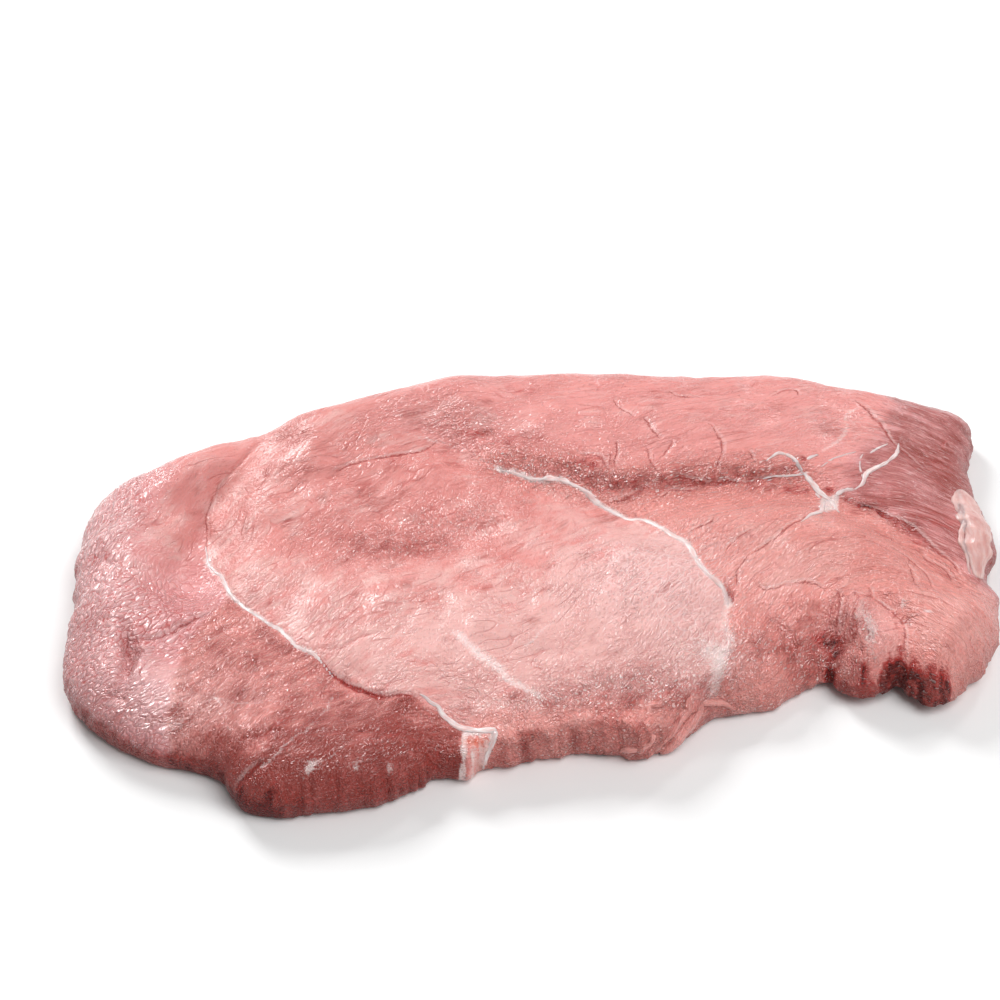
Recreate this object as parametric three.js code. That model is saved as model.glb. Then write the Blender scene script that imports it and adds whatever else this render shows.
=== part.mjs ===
// A raw veal escalope: one slice cut across the leg, lying flat on a table.
// Millimetres, +Z up, with the origin on the table under the middle of the slice.
// +X runs along the slice, and +Y across it from its ragged front edge to its smooth back edge.
// The slice holds several muscles, so its top swells over each muscle and dips along the seams
// between them. Its edge rolls over all round, and its underside has settled flat.

import * as THREE from "three";
import { mergeVertices } from "three/addons/utils/BufferGeometryUtils.js";

// Driving dimensions of the slice.
const THICKNESS = 10.5; // as it was cut, before the swells and folds are added
const EDGE_ROUND = 7; // how far in from the rim the top begins to roll over
const TUCK = 2.2; // how far the rim stands out over the edge of the flat underside
const WIDEST_AT = 0.38; // height of the rim, as a share of the thickness there
const UNDERSIDE_Z = 0;

// Mesh density: steps along the slice and across it, and rings down its rounded edge.
const STEPS_ALONG = 62;
const STEPS_ACROSS = 38;
const EDGE_RINGS = 8;
const CORNER_SPREAD = 3; // steps to each side over which the inner line evens out the rim
const FINE = 16; // length measurements between two neighbouring outline points
const RUN_SPAN = 2; // steps to each side over which the rim's run is measured
const MERGE_WITHIN = 1e-3; // points nearer than this are one point

const MEAT_PINK = 0xe39a95;

// The rim seen from above, clockwise from its front left corner, as [x, y]. Each side starts
// at a corner, and the next side starts where it ends.
const LEFT_SIDE = [
  [-95, -40], [-98, -34], [-99, -25], [-99, -11], [-100, 0], [-100, 9], [-99, 17], [-95, 25],
];
const BACK_SIDE = [
  [-87, 32], [-77, 40], [-61, 47], [-44, 55], [-28, 62], [-9, 68],
  [14, 69], [38, 68], [57, 68], [75, 63], [91, 58],
];
const RIGHT_SIDE = [
  [99, 53], [100, 46], [97, 36], [98, 22], [99, 8], [96, 0], [97, -8], [95, -20],
];
const FRONT_SIDE = [
  [90, -29], [84, -36], [79, -38], [73, -34], [66, -36], [61, -34], [58, -30], [54, -32],
  [46, -38], [38, -39], [31, -43], [25, -49], [18, -51], [6, -50], [-8, -54], [-16, -57],
  [-22, -57], [-30, -63], [-44, -66], [-56, -67], [-61, -64], [-64, -58], [-80, -52], [-89, -46],
];

// Broad swells and hollows: [x, y] of the middle, reach along and across, turn in degrees, rise.
const SWELLS = [
  { at: [-86, -32], reach: [9, 15], turn: 10, rise: 2.5 }, // blunt left end, front half
  { at: [-40, -57], reach: [24, 9], turn: 0, rise: 1.5 }, // dark muscle along the front
  { at: [-53, 33], reach: [13, 7], turn: 30, rise: 3.0 }, // top of the middle muscle
  { at: [-33, 7], reach: [27, 10], turn: 5, rise: -3.2 }, // hollow across the middle muscle
  { at: [-12, -22], reach: [30, 14], turn: 0, rise: 1.6 }, // pale belly of the middle muscle
  { at: [24, -8], reach: [13, 15], turn: 20, rise: 3.4 }, // dome at its right end
  { at: [22, 46], reach: [32, 12], turn: -5, rise: 1.8 }, // muscle along the back
  { at: [56, 3], reach: [24, 12], turn: -12, rise: 4.0 }, // muscle right of the middle
  { at: [82, -22], reach: [12, 12], turn: 0, rise: 3.4 }, // right lobe
  { at: [54, -24], reach: [8, 6], turn: -20, rise: -4.2 }, // torn hollow by the front edge
  { at: [66, -26], reach: [5, 8], turn: 10, rise: 2.2 }, // small lobe between the hollows
  { at: [92, 30], reach: [10, 22], turn: 0, rise: -2.0 }, // right end slopes away
  { at: [0, -50], reach: [26, 7], turn: -4, rise: -1.6 }, // thin front edge
];

// Long folds and furrows: the line they follow, how far they reach to each side, and their rise.
const FOLDS = [
  {
    // Rolled rim from the left end round to the back edge.
    line: [[-90, -14], [-91, 4], [-88, 18], [-78, 30], [-62, 40], [-42, 49], [-20, 56]],
    reach: 9,
    rise: 3.6,
  },
  {
    // Deep furrow where that rim meets the middle muscle.
    line: [[-60, 37], [-68, 30], [-72, 20], [-73, 10], [-73, 1], [-76, -7]],
    reach: 6,
    rise: -5.0,
  },
  {
    // Seam along the front left of the middle muscle.
    line: [[-71, -4], [-62, -17], [-50, -28], [-39, -40], [-26, -46], [-17, -52]],
    reach: 5,
    rise: -1.6,
  },
  {
    // Seam along its back right.
    line: [[-22, 38], [-7, 27], [9, 20], [19, 11], [30, 3], [39, -14], [36, -30]],
    reach: 5,
    rise: -1.6,
  },
  {
    // Rough furrow in front of the back muscle, running on to the right edge.
    line: [[6, 25], [20, 17], [36, 21], [58, 24], [72, 14], [84, 0], [94, -12]],
    reach: 6,
    rise: -3.2,
  },
  {
    // Crack from the left end towards the middle.
    line: [[-84, -30], [-75, -25], [-68, -19]],
    reach: 5,
    rise: -1.8,
  },
];

const radians = THREE.MathUtils.degToRad;
const mix = THREE.MathUtils.lerp;

// A smooth hill: 1 at distance 0, and close to 0 past twice its reach.
const hill = (distance, reach) => Math.exp(-((distance / reach) ** 2));

// Distance from [x, y] to the nearest point of a line of straight stretches.
function distanceToLine(x, y, line) {
  let nearest = Infinity;
  for (let i = 1; i < line.length; i++) {
    const [ax, ay] = line[i - 1];
    const [bx, by] = line[i];
    const along = ((x - ax) * (bx - ax) + (y - ay) * (by - ay)) / ((bx - ax) ** 2 + (by - ay) ** 2);
    const share = THREE.MathUtils.clamp(along, 0, 1);
    nearest = Math.min(nearest, Math.hypot(x - mix(ax, bx, share), y - mix(ay, by, share)));
  }
  return nearest;
}

// How much one swell adds at [x, y].
function swellAt(x, y, { at, reach, turn, rise }) {
  const dx = x - at[0];
  const dy = y - at[1];
  const along = dx * Math.cos(radians(turn)) + dy * Math.sin(radians(turn));
  const across = dy * Math.cos(radians(turn)) - dx * Math.sin(radians(turn));
  return rise * hill(Math.hypot(along / reach[0], across / reach[1]), 1);
}

// Height of the top of the slice, before its edge rolls over.
function topHeight(x, y) {
  const swells = SWELLS.reduce((sum, swell) => sum + swellAt(x, y, swell), 0);
  const folds = FOLDS.reduce(
    (sum, { line, reach, rise }) => sum + rise * hill(distanceToLine(x, y, line), reach), 0,
  );
  return THICKNESS + swells + folds;
}

// The rim as a closed loop of points, evenly spaced along each side.
function rimLoop() {
  const sides = [LEFT_SIDE, BACK_SIDE, RIGHT_SIDE, FRONT_SIDE];
  const steps = [STEPS_ACROSS, STEPS_ALONG, STEPS_ACROSS, STEPS_ALONG];
  const corners = sides.flat().map(([x, y]) => new THREE.Vector3(x, y, 0));
  const curve = new THREE.CatmullRomCurve3(corners, true, "centripetal");
  curve.arcLengthDivisions = FINE * corners.length;
  const lengths = curve.getLengths();
  const loop = [];
  let first = 0;
  sides.forEach((side, i) => {
    const start = lengths[FINE * first];
    const end = lengths[FINE * (first + side.length)];
    for (let step = 0; step < steps[i]; step++) {
      loop.push(curve.getPointAt(mix(start, end, step / steps[i]) / lengths.at(-1)));
    }
    first += side.length;
  });
  return loop;
}

// The inner line where the top begins to roll over: the rim evened out over a few steps, and
// moved in at right angles to its run.
function shoulderLoop(rim) {
  const at = (loop, i) => loop[(i + loop.length) % loop.length];
  const even = rim.map((_, i) => {
    const sum = new THREE.Vector3();
    for (let near = -CORNER_SPREAD; near <= CORNER_SPREAD; near++) {
      sum.add(at(rim, i + near));
    }
    return sum.divideScalar(2 * CORNER_SPREAD + 1);
  });
  return even.map((point, i) => {
    const run = at(even, i + RUN_SPAN).clone().sub(at(even, i - RUN_SPAN)).normalize();
    return point.clone().add(new THREE.Vector3(run.y, -run.x, 0).multiplyScalar(EDGE_ROUND));
  });
}

// Rows of points that fill a loop of four sides: each is the mean of the two lines that join
// opposite sides through it, less what the corners count twice.
function fillLoop(loop) {
  const at = (i) => loop[i % loop.length];
  const left = (j) => at(j);
  const back = (i) => at(STEPS_ACROSS + i);
  const right = (j) => at(2 * STEPS_ACROSS + STEPS_ALONG - j);
  const front = (i) => at(2 * STEPS_ACROSS + 2 * STEPS_ALONG - i);
  const between = (a, b, share) => a.clone().lerp(b, share);
  const rows = [];
  for (let j = 0; j <= STEPS_ACROSS; j++) {
    const across = j / STEPS_ACROSS;
    const row = [];
    for (let i = 0; i <= STEPS_ALONG; i++) {
      const along = i / STEPS_ALONG;
      const twice = between(
        between(left(0), right(0), along), between(left(STEPS_ACROSS), right(STEPS_ACROSS), along), across,
      );
      row.push(
        between(front(i), back(i), across).add(between(left(j), right(j), along)).sub(twice),
      );
    }
    rows.push(row);
  }
  return rows;
}

// Rows of points down the edge: a quarter ellipse from the shoulder out to the rim, then
// another back under it to the edge of the flat underside.
function edgeRows(rim, shoulder) {
  const rows = [];
  for (let ring = 0; ring <= EDGE_RINGS; ring++) {
    const angle = mix(Math.PI / 2, -Math.PI / 2, ring / EDGE_RINGS);
    const reach = angle > 0 ? 1 : TUCK / EDGE_ROUND;
    const row = rim.map((outer, i) => {
      const point = outer.clone().lerp(shoulder[i], reach * (1 - Math.cos(angle)));
      const top = topHeight(point.x, point.y);
      const rimHeight = WIDEST_AT * topHeight(outer.x, outer.y);
      const rise = angle > 0 ? top - rimHeight : rimHeight - UNDERSIDE_Z;
      return point.setZ(rimHeight + rise * Math.sin(angle));
    });
    rows.push([...row, row[0]]);
  }
  return rows;
}

// Adds rows of points to the surface, with two triangles in each gap between four of them. The
// gap is cut along the diagonal whose middle misses the surface by less, so that a crease which
// runs askew to the rows stays clean.
function addRows(surface, rows, missAt) {
  const width = rows[0].length;
  const first = surface.points.length;
  surface.points.push(...rows.flat());
  for (let j = 1; j < rows.length; j++) {
    for (let i = 1; i < width; i++) {
      const d = first + j * width + i;
      const [a, b, c] = [d - width - 1, d - width, d - 1];
      const rising = missAt(rows[j - 1][i - 1], rows[j][i]);
      const falling = missAt(rows[j - 1][i], rows[j][i - 1]);
      const split = rising <= falling ? [a, b, d, a, d, c] : [a, b, c, b, d, c];
      surface.faces.push(...split);
    }
  }
}

// How far the middle of a straight line between two points of the top misses the top.
function missOfTop(p, q) {
  const middle = p.clone().lerp(q, 0.5);
  return Math.abs(middle.z - topHeight(middle.x, middle.y));
}

// Adds the flat underside inside its own edge.
function addUnderside(surface, loop) {
  const first = surface.points.length;
  surface.points.push(...loop);
  for (const [a, b, c] of THREE.ShapeUtils.triangulateShape(loop, [])) {
    surface.faces.push(first + a, first + c, first + b);
  }
}

function sliceGeometry() {
  const rim = rimLoop();
  const shoulder = shoulderLoop(rim);
  const top = fillLoop(shoulder);
  top.flat().forEach((point) => point.setZ(topHeight(point.x, point.y)));
  const edge = edgeRows(rim, shoulder);
  const surface = { points: [], faces: [] };
  addRows(surface, top, missOfTop);
  addRows(surface, edge, (p, q) => p.distanceTo(q));
  addUnderside(surface, edge.at(-1).slice(0, -1));
  const geometry = new THREE.BufferGeometry().setFromPoints(surface.points);
  geometry.setIndex(surface.faces);
  const closed = mergeVertices(geometry, MERGE_WITHIN);
  closed.computeVertexNormals();
  return closed;
}

const meat = new THREE.MeshStandardMaterial({ color: MEAT_PINK, roughness: 0.35, metalness: 0 });
const escalope = new THREE.Mesh(sliceGeometry(), meat);
escalope.name = "escalope";

const part = new THREE.Group();
part.add(escalope);

export default part;
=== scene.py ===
# %% [markdown]
# # A raw veal escalope
#
# A veal escalope is one thin slice cut across the leg of a calf. The knife goes through several
# muscles at once, so the slice shows their cut faces side by side, with white seams of sinew
# between them. The meat is soft and wet: it slumps flat underneath, swells over each muscle, and
# its surface glistens.
#
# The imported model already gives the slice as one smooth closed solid. It is loaded first, and it
# says how long, wide and high everything is. This lesson then builds the surface that you would
# see: the grain of every muscle, the wrinkles, the torn front edge, and the sinew.

import bpy
import numpy as np
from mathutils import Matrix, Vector
from mathutils.bvhtree import BVHTree


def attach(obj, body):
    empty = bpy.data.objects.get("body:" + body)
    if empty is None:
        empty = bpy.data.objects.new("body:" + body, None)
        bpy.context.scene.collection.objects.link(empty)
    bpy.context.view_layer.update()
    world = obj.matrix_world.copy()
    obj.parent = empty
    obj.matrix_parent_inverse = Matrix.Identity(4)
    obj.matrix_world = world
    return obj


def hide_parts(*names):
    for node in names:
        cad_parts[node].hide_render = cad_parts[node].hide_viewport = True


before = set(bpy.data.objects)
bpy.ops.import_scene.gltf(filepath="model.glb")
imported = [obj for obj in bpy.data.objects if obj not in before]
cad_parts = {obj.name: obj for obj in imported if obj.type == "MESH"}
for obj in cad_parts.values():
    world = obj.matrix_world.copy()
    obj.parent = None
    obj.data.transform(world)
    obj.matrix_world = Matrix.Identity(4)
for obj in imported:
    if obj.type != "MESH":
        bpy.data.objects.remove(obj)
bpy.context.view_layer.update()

MM = 0.001

# %% [markdown]
# ## The slice's outline
#
# The rim of the slice is its widest line, where the surface stops facing up and starts facing
# down. It could be drawn again by hand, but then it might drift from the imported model. So it is
# read from the model: each edge of the rim lies between a triangle that faces up and one that
# faces down. Those edges are chained nose to tail into one closed loop.

# %% Find the rim
def merged_mesh(node):
    """The node's points, in millimetres, and its triangles, with points at one place made one."""
    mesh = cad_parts[node].data
    points = np.empty(len(mesh.vertices) * 3)
    mesh.vertices.foreach_get("co", points)
    mesh.calc_loop_triangles()
    corners = np.empty(len(mesh.loop_triangles) * 3, np.int32)
    mesh.loop_triangles.foreach_get("vertices", corners)
    rounded_mm = np.round(points.reshape(-1, 3) / MM, 2)
    unique, inverse = np.unique(rounded_mm, axis=0, return_inverse=True)
    return unique, inverse.reshape(-1)[corners].reshape(-1, 3)


def rim_of(points, triangles):
    """The closed loop of edges between faces whose normal points up and faces whose doesn't."""
    a, b, c = (points[triangles[:, k]] for k in range(3))
    up = np.cross(b - a, c - a)[:, 2] > 0
    upper, lower = (
        np.concatenate([faces[:, [0, 1]], faces[:, [1, 2]], faces[:, [2, 0]]])
        for faces in (triangles[up], triangles[~up])
    )
    key, turned = (len(points), 1), (1, len(points))
    follows = dict(upper[np.isin(upper @ key, lower @ turned)])
    chain = [min(follows)]
    while follows[chain[-1]] != chain[0]:
        chain.append(follows[chain[-1]])
    return points[chain]


cad_points, cad_triangles = merged_mesh("escalope")
cad_rim = rim_of(cad_points, cad_triangles)
print("rim of", len(cad_rim), "points, anticlockwise from above")

# %% [markdown]
# ## Charts
#
# Meat has no straight line to measure from, so most of the work happens on charts: square grids
# of numbers seen from above, like the pixels of a map. One chart holds the height of the top,
# another how pale the meat is, and so on. Every formula below works on a whole chart at once.
#
# Three tools serve them all. One reads a chart at any place, one spreads its values with a
# bell curve, and one makes soft random hills, which is what natural surfaces need everywhere.

# %% Make the charts' grid and tools
CELL = 0.3  # mm
MARGIN = 8.0  # mm of chart past the rim
low, high = cad_rim[:, :2].min(0) - MARGIN, cad_rim[:, :2].max(0) + MARGIN
X, Y = np.meshgrid(np.arange(low[0], high[0], CELL), np.arange(low[1], high[1], CELL))


def look_up(chart, x, y):
    """The chart's value at any places: the mean of the four nearest cells, weighted by nearness."""
    column = np.clip((x - low[0]) / CELL, 0, chart.shape[1] - 1.001)
    row = np.clip((y - low[1]) / CELL, 0, chart.shape[0] - 1.001)
    i, j = column.astype(int), row.astype(int)
    s, t = column - i, row - j
    upper = chart[j + 1, i] * (1 - s) + chart[j + 1, i + 1] * s
    return (chart[j, i] * (1 - s) + chart[j, i + 1] * s) * (1 - t) + upper * t


def blur(chart, reach):
    """The chart with each value spread over its surroundings by a bell of that reach in mm."""
    fy = np.fft.fftfreq(chart.shape[0], CELL)[:, None]
    fx = np.fft.rfftfreq(chart.shape[1], CELL)[None]
    bell = np.exp(-2 * (np.pi * reach) ** 2 * (fx**2 + fy**2))
    return np.fft.irfft2(np.fft.rfft2(chart) * bell, chart.shape)

# %% Make soft noise
TILE, PER_HILL = 512, 8
tiles = {}


def noise(x, y, seed):
    """Soft random hills and dips, each about one unit across, with mean 0 and spread 1. White
    noise keeps only its waves near one length, and is read from a tile that repeats."""
    if seed not in tiles:
        f = np.fft.fftfreq(TILE, 1 / PER_HILL)
        waves = np.hypot(f[:, None], f[None, : TILE // 2 + 1])
        white = np.fft.rfft2(np.random.default_rng(seed).standard_normal((TILE, TILE)))
        tile = np.fft.irfft2(white * waves * np.exp(-2 * waves**2), (TILE, TILE))
        tiles[seed] = tile / tile.std()
    tile = tiles[seed]
    column, row = np.asarray(x) * PER_HILL, np.asarray(y) * PER_HILL
    i, j = np.floor(column).astype(int), np.floor(row).astype(int)
    s, t = column - i, row - j
    i, j, right, above = i % TILE, j % TILE, (i + 1) % TILE, (j + 1) % TILE
    lower = tile[j, i] * (1 - s) + tile[j, right] * s
    return lower * (1 - t) + (tile[above, i] * (1 - s) + tile[above, right] * s) * t


def ease(low_end, high_end, value):
    """0 below the low end, 1 above the high end, and a smooth S between them."""
    share = np.clip((value - low_end) / (high_end - low_end), 0, 1)
    return share * share * (3 - 2 * share)


print("charts of", X.shape, "cells")

# %% [markdown]
# ## Height of the top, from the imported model
#
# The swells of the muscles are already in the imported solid. Its points lie 3 mm apart, so their
# heights are dropped into a chart and spread with a bell: the sum of the spread heights over the
# sum of the spread counts is a smooth height everywhere. Only points well inside the rim count,
# so the chart runs on level past the edge, where this lesson rolls the surface over in its
# own way.

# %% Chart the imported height
def off_loop(loop, x, y):
    """Distance in mm from each place to a closed line of straight stretches."""
    nearest = np.full(np.shape(x), np.inf)
    for (ax, ay), (bx, by) in zip(loop, np.roll(loop, -1, axis=0)):
        dx, dy = bx - ax, by - ay
        share = np.clip(((x - ax) * dx + (y - ay) * dy) / (dx * dx + dy * dy), 0, 1)
        nearest = np.minimum(nearest, np.hypot(x - ax - share * dx, y - ay - share * dy))
    return nearest


CAD_EDGE = 6.5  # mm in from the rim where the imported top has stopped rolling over
tops = cad_points[cad_points[:, 2] > 1.0]
tops = tops[off_loop(cad_rim[:, :2], tops[:, 0], tops[:, 1]) > CAD_EDGE]
column, row = ((tops[:, k] - low[k]) / CELL for k in range(2))
counts, heights = np.zeros(X.shape), np.zeros(X.shape)
np.add.at(counts, (row.astype(int), column.astype(int)), 1.0)
np.add.at(heights, (row.astype(int), column.astype(int)), tops[:, 2])
BELL, WIDE_BELL = 2.4, 14.0  # mm
WIDE_SHARE = 0.002  # weight of the wide bell, which only matters past the last points
spread_heights, spread_counts = (
    blur(chart, BELL) + WIDE_SHARE * blur(chart, WIDE_BELL) for chart in (heights, counts)
)
base = spread_heights / spread_counts
print("top between", base.min().round(1), "and", base.max().round(1), "mm")

# %% [markdown]
# ## Seams, muscles and cracks
#
# Each seam and crack is a line in millimetres, and each muscle is an area between seams. Real
# ones are never so straight. Instead of drawing more points, the grid itself is bent a little:
# every place is moved by soft noise before its distance from a line is measured, so that all
# lines wander in the same natural way and still meet where they should.

# %% Bend the grid
def bend(x, y):
    """The places moved by two sizes of soft noise, about half a millimetre in all."""
    along = 0.4 * noise(x / 9, y / 9, 11) + 0.10 * noise(x / 3, y / 3, 12)
    across = 0.4 * noise(x / 9, y / 9, 13) + 0.10 * noise(x / 3, y / 3, 14)
    return x + along, y + across


BX, BY = bend(X, Y)


def rounded(line):
    """The line with its corners cut three times, each time at the quarters of every stretch."""
    line = np.asarray(line, float)
    for _ in range(3):
        near = 0.75 * line[:-1] + 0.25 * line[1:]
        far = 0.25 * line[:-1] + 0.75 * line[1:]
        quarters = np.stack([near, far], 1).reshape(-1, line.shape[1])
        line = np.concatenate([line[:1], quarters, line[-1:]])
    return line

# %% Measure how far each place is from a line
def along_line(line, window=np.s_[:, :]):
    """Three charts: distance in mm from the rounded line, how far along it, from 0 to 1, and
    which side of it, 1 on the left and -1 on the right. A window keeps to a part of the chart."""
    line = rounded(line)
    x, y = BX[window], BY[window]
    steps = np.hypot(*np.diff(line, axis=0).T)
    starts = np.concatenate([[0], np.cumsum(steps)])
    nearest, place, side = np.full(x.shape, np.inf), np.zeros(x.shape), np.ones(x.shape)
    for (ax, ay), (bx, by), start, step in zip(line[:-1], line[1:], starts, steps):
        dx, dy = bx - ax, by - ay
        share = np.clip(((x - ax) * dx + (y - ay) * dy) / (dx * dx + dy * dy), 0, 1)
        distance = np.hypot(x - ax - share * dx, y - ay - share * dy)
        nearer = distance < nearest
        place = np.where(nearer, (start + share * step) / starts[-1], place)
        side = np.where(nearer, np.where(dx * (y - ay) > dy * (x - ax), 1.0, -1.0), side)
        nearest = np.minimum(nearest, distance)
    return nearest, place, side

# %% Fill areas, spots and strokes
def inside(outline):
    """1 where a place lies in the outline and 0 outside, softened over half a millimetre."""
    crossed = np.zeros(X.shape, bool)
    for (ax, ay), (bx, by) in zip(outline, outline[1:] + outline[:1]):
        if ay != by:
            beside = (ay > BY) != (by > BY)
            crossed ^= beside & (BX < ax + (BY - ay) * (bx - ax) / (by - ay))
    return blur(crossed.astype(float), 0.5)


def hill(x, y, reach, across=None, turn=0.0):
    """A soft oval spot: 1 in the middle and near 0 past twice its reach."""
    dx, dy = BX - x, BY - y
    a = np.radians(turn)
    along, aside = dx * np.cos(a) + dy * np.sin(a), dy * np.cos(a) - dx * np.sin(a)
    return np.exp(-((along / reach) ** 2) - (aside / (across or reach)) ** 2)


def spots(*rows):
    """A sum of soft spots. Each row is a strength and then the numbers that hill takes."""
    return sum(strength * hill(*place) for strength, *place in rows)


def strokes(*rows):
    """A sum of soft lines. Each row is a strength, a half width in mm and the line's points."""
    return sum(
        strength * np.exp(-((along_line(line)[0] / half_width) ** 2))
        for strength, half_width, line in rows
    )

# %% [markdown]
# The lines of the slice are given once, in millimetres from the middle of its box. A muscle's
# outline is put together from the seams that it lies between.

# %% Lay out the seams and muscles
LEFT_SEAM = [
    (-58, 42), (-63, 39), (-67, 33), (-71, 28), (-73, 23), (-73, 16), (-73, 9), (-72, 4), (-70, -2),
    (-65, -12), (-59, -18), (-53, -24), (-47, -30), (-42, -36), (-37, -40), (-32, -42), (-25, -44),
    (-20, -47), (-16, -51),
]
RIGHT_SEAM = [
    (-32, 41), (-21, 39), (-14, 35), (-9, 30), (0, 28), (9, 26), (14, 20), (19, 14), (22, 14),
    (26, 9), (30, 3), (32, -2), (35, -7), (38, -12), (39, -15), (38, -22), (39, -26), (37, -30),
    (35, -35), (33, -40),
]
BACK_FURROW = [(9, 26), (13, 25), (22, 23), (36, 25), (49, 27), (57, 28), (62, 24), (66, 21)]
RIGHT_CREASE = [(66, 21), (72, 19), (78, 12), (83, 6), (87, 1), (92, -6), (97, -10)]
MUSCLES = {
    "middle": LEFT_SEAM + [(-14, -60), (30, -58)] + RIGHT_SEAM[::-1] + [(-45, 46)],
    "front left": LEFT_SEAM[9:] + [(-14, -74), (-74, -74), (-74, -30), (-70, -18)],
    "right": [(39, -13), (38, -22), (39, -26), (33, -40), (30, -58), (108, -58), (108, -14)]
    + RIGHT_CREASE[::-1] + BACK_FURROW[::-1] + [(19, 14), (30, 3)],
    "corner": RIGHT_CREASE + [(110, 0), (110, 70), (84, 72), (80, 50), (77, 42), (70, 32)],
}
muscle = {name: inside(outline) for name, outline in MUSCLES.items()}
muscle["corner"] = blur(muscle["corner"], 1.6)
muscle["rim"] = np.clip(1 - sum(muscle.values()), 0, 1) * (1 - ease(-42, -24, X))
muscle["back"] = np.clip(1 - sum(muscle.values()), 0, 1)
for name, chart in muscle.items():
    print(name, "covers", round(float(chart.sum()) * CELL**2 / 100), "square cm of chart")

# %% [markdown]
# ## Which way the fibres run
#
# Muscle is made of bundles of fibres, and their direction is the strongest thing that you see on
# a slice. A few arrows say which way they lie in each muscle, and every place takes a weighted
# mean of the arrows' angles.
#
# A texture can't just be turned by a different angle at each place, because it would tear. What
# works is a pair of coordinates, u along the fibres and v across them, whose slopes follow the
# arrows as well as any smooth chart can. That is a Poisson equation. On a chart mirrored at its
# edges, it takes one pair of Fourier transforms.

# %% Chart the fibres' own coordinates
ARROWS = [  # x, y, degrees from +X towards +Y
    (-89, -32, 78), (-94, -5, 86), (-90, 16, 70), (-76, 33, 42), (-58, 44, 26), (-30, 55, 18),
    (-76, 8, 78), (-82, -22, 70), (-66, 22, 74), (-58, 2, 66), (-52, -16, 46), (-40, 30, 62),
    (-34, 6, 30), (-4, 6, 24), (-24, -24, 14), (4, -24, 22), (22, -6, 44), (-10, -44, 4),
    (8, -40, 40), (24, -38, 62), (33, -30, 70), (-60, -34, 22), (-76, -46, -12), (-46, -50, 14),
    (-52, -62, 50), (-14, 48, 6), (14, 54, -8), (44, 52, -4), (30, 30, 8), (62, 36, 20),
    (44, 4, 54), (58, 8, 42), (74, 4, 2), (88, -14, -48), (82, -28, -62), (56, -24, 84),
    (66, -28, 86), (88, 42, -52), (80, 26, -30), (94, 14, -58),
]
ARROW_REACH = 9.0  # mm
LEAST_WEIGHT = 1e-6  # so that the mean is defined far from every arrow
weights = [
    np.exp(-((X - x) ** 2 + (Y - y) ** 2) / (2 * ARROW_REACH**2)) + LEAST_WEIGHT
    for x, y, _ in ARROWS
]
angle = np.radians(sum(w * a for w, (_, _, a) in zip(weights, ARROWS)) / sum(weights))
angle = angle + 0.12 * noise(X / 14, Y / 14, 21)

# %% Find the chart with the nearest slopes
def follow(slope_x, slope_y):
    """The chart whose slopes are nearest to the ones given. Mirroring makes the chart periodic,
    and there each wave's height is -i (kx Sx + ky Sy) / (kx^2 + ky^2)."""
    def mirrored(chart, turned_x, turned_y):
        wide = np.concatenate([chart, turned_x * chart[:, ::-1]], 1)
        return np.fft.fft2(np.concatenate([wide, turned_y * wide[::-1]], 0))
    sx, sy = mirrored(slope_x, -1, 1), mirrored(slope_y, 1, -1)
    kx = 2 * np.pi * np.fft.fftfreq(sx.shape[1], CELL)[None]
    ky = 2 * np.pi * np.fft.fftfreq(sx.shape[0], CELL)[:, None]
    square = kx**2 + ky**2
    square[0, 0] = 1.0
    return np.fft.ifft2(-1j * (kx * sx + ky * sy) / square).real[: X.shape[0], : X.shape[1]]


U, V = follow(np.cos(angle), np.sin(angle)), follow(-np.sin(angle), np.cos(angle))
U, V = U + 0.3 * noise(X / 12, Y / 12, 22), V + 0.3 * noise(X / 12, Y / 12, 23)
print("fibre coordinates span", np.ptp(U).round(), "by", np.ptp(V).round(), "mm")

# %% [markdown]
# ## Relief
#
# Raw meat is covered by a thin wet skin that shrinks as it dries, so it puckers into small
# cushions with fine gaps between them. Noise makes such gaps by itself: its hills and dips meet
# along lines where it is 0, so |noise| is 0 on a line and rounded on both sides. Two such
# noises, stretched along directions that cross, give a net of long diamonds.
#
# The relief is added in layers: low lumps, cushions along the fibres, and coarse granules where
# the knife tore the bundles. Where each layer shows is painted with soft oval spots.

# %% Make a net of gaps
def net(length, width, turn, seed):
    """0 in the gaps and up to 1 on the cushions: the lower of two |noises|, each stretched to the
    given length and width in mm and turned by that many degrees to either side of the fibres."""
    a = np.radians(turn)
    sides = []
    for k, s in enumerate((np.sin(a), -np.sin(a))):
        along, aside = U * np.cos(a) + V * s, V * np.cos(a) - U * s
        sides.append(np.abs(noise(along / length, aside / width, seed + k)))
    return np.tanh(2.2 * np.minimum(*sides))

# %% Chart where the meat is granular, smooth, wrinkled and stretched
FURROW = [(-8, 31), (8, 28), (22, 25), (40, 28), (57, 29)]
granular = np.clip(
    0.2 * muscle["front left"]
    + strokes((0.95, 5, FURROW), (0.9, 1.5, [(66.3, 20.8), (70.4, 18.8), (75.5, 15.2), (80, 11)]))
    + spots(
        (0.7, -35, 5, 16, 7, 8), (0.9, 20, -39, 14, 6, 10), (0.6, 34, -30, 7),
        (0.5, -12, 42, 16, 6, -15), (0.5, 0, -44, 20, 4, 4), (0.35, -16, 14, 16, 8, 10),
        (0.8, 47, -28, 9, 6), (0.8, 17, -43, 17, 5, 6), (0.8, 56, -28, 7, 8),
        (0.9, 65.5, -26, 3.6, 8),
    ), 0, 1)
groove_slope = spots((1, -79, 12, 6, 17, -14), (1, -72, 32, 8, 12, -35), (0.8, -84, 42, 8, 9))
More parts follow.
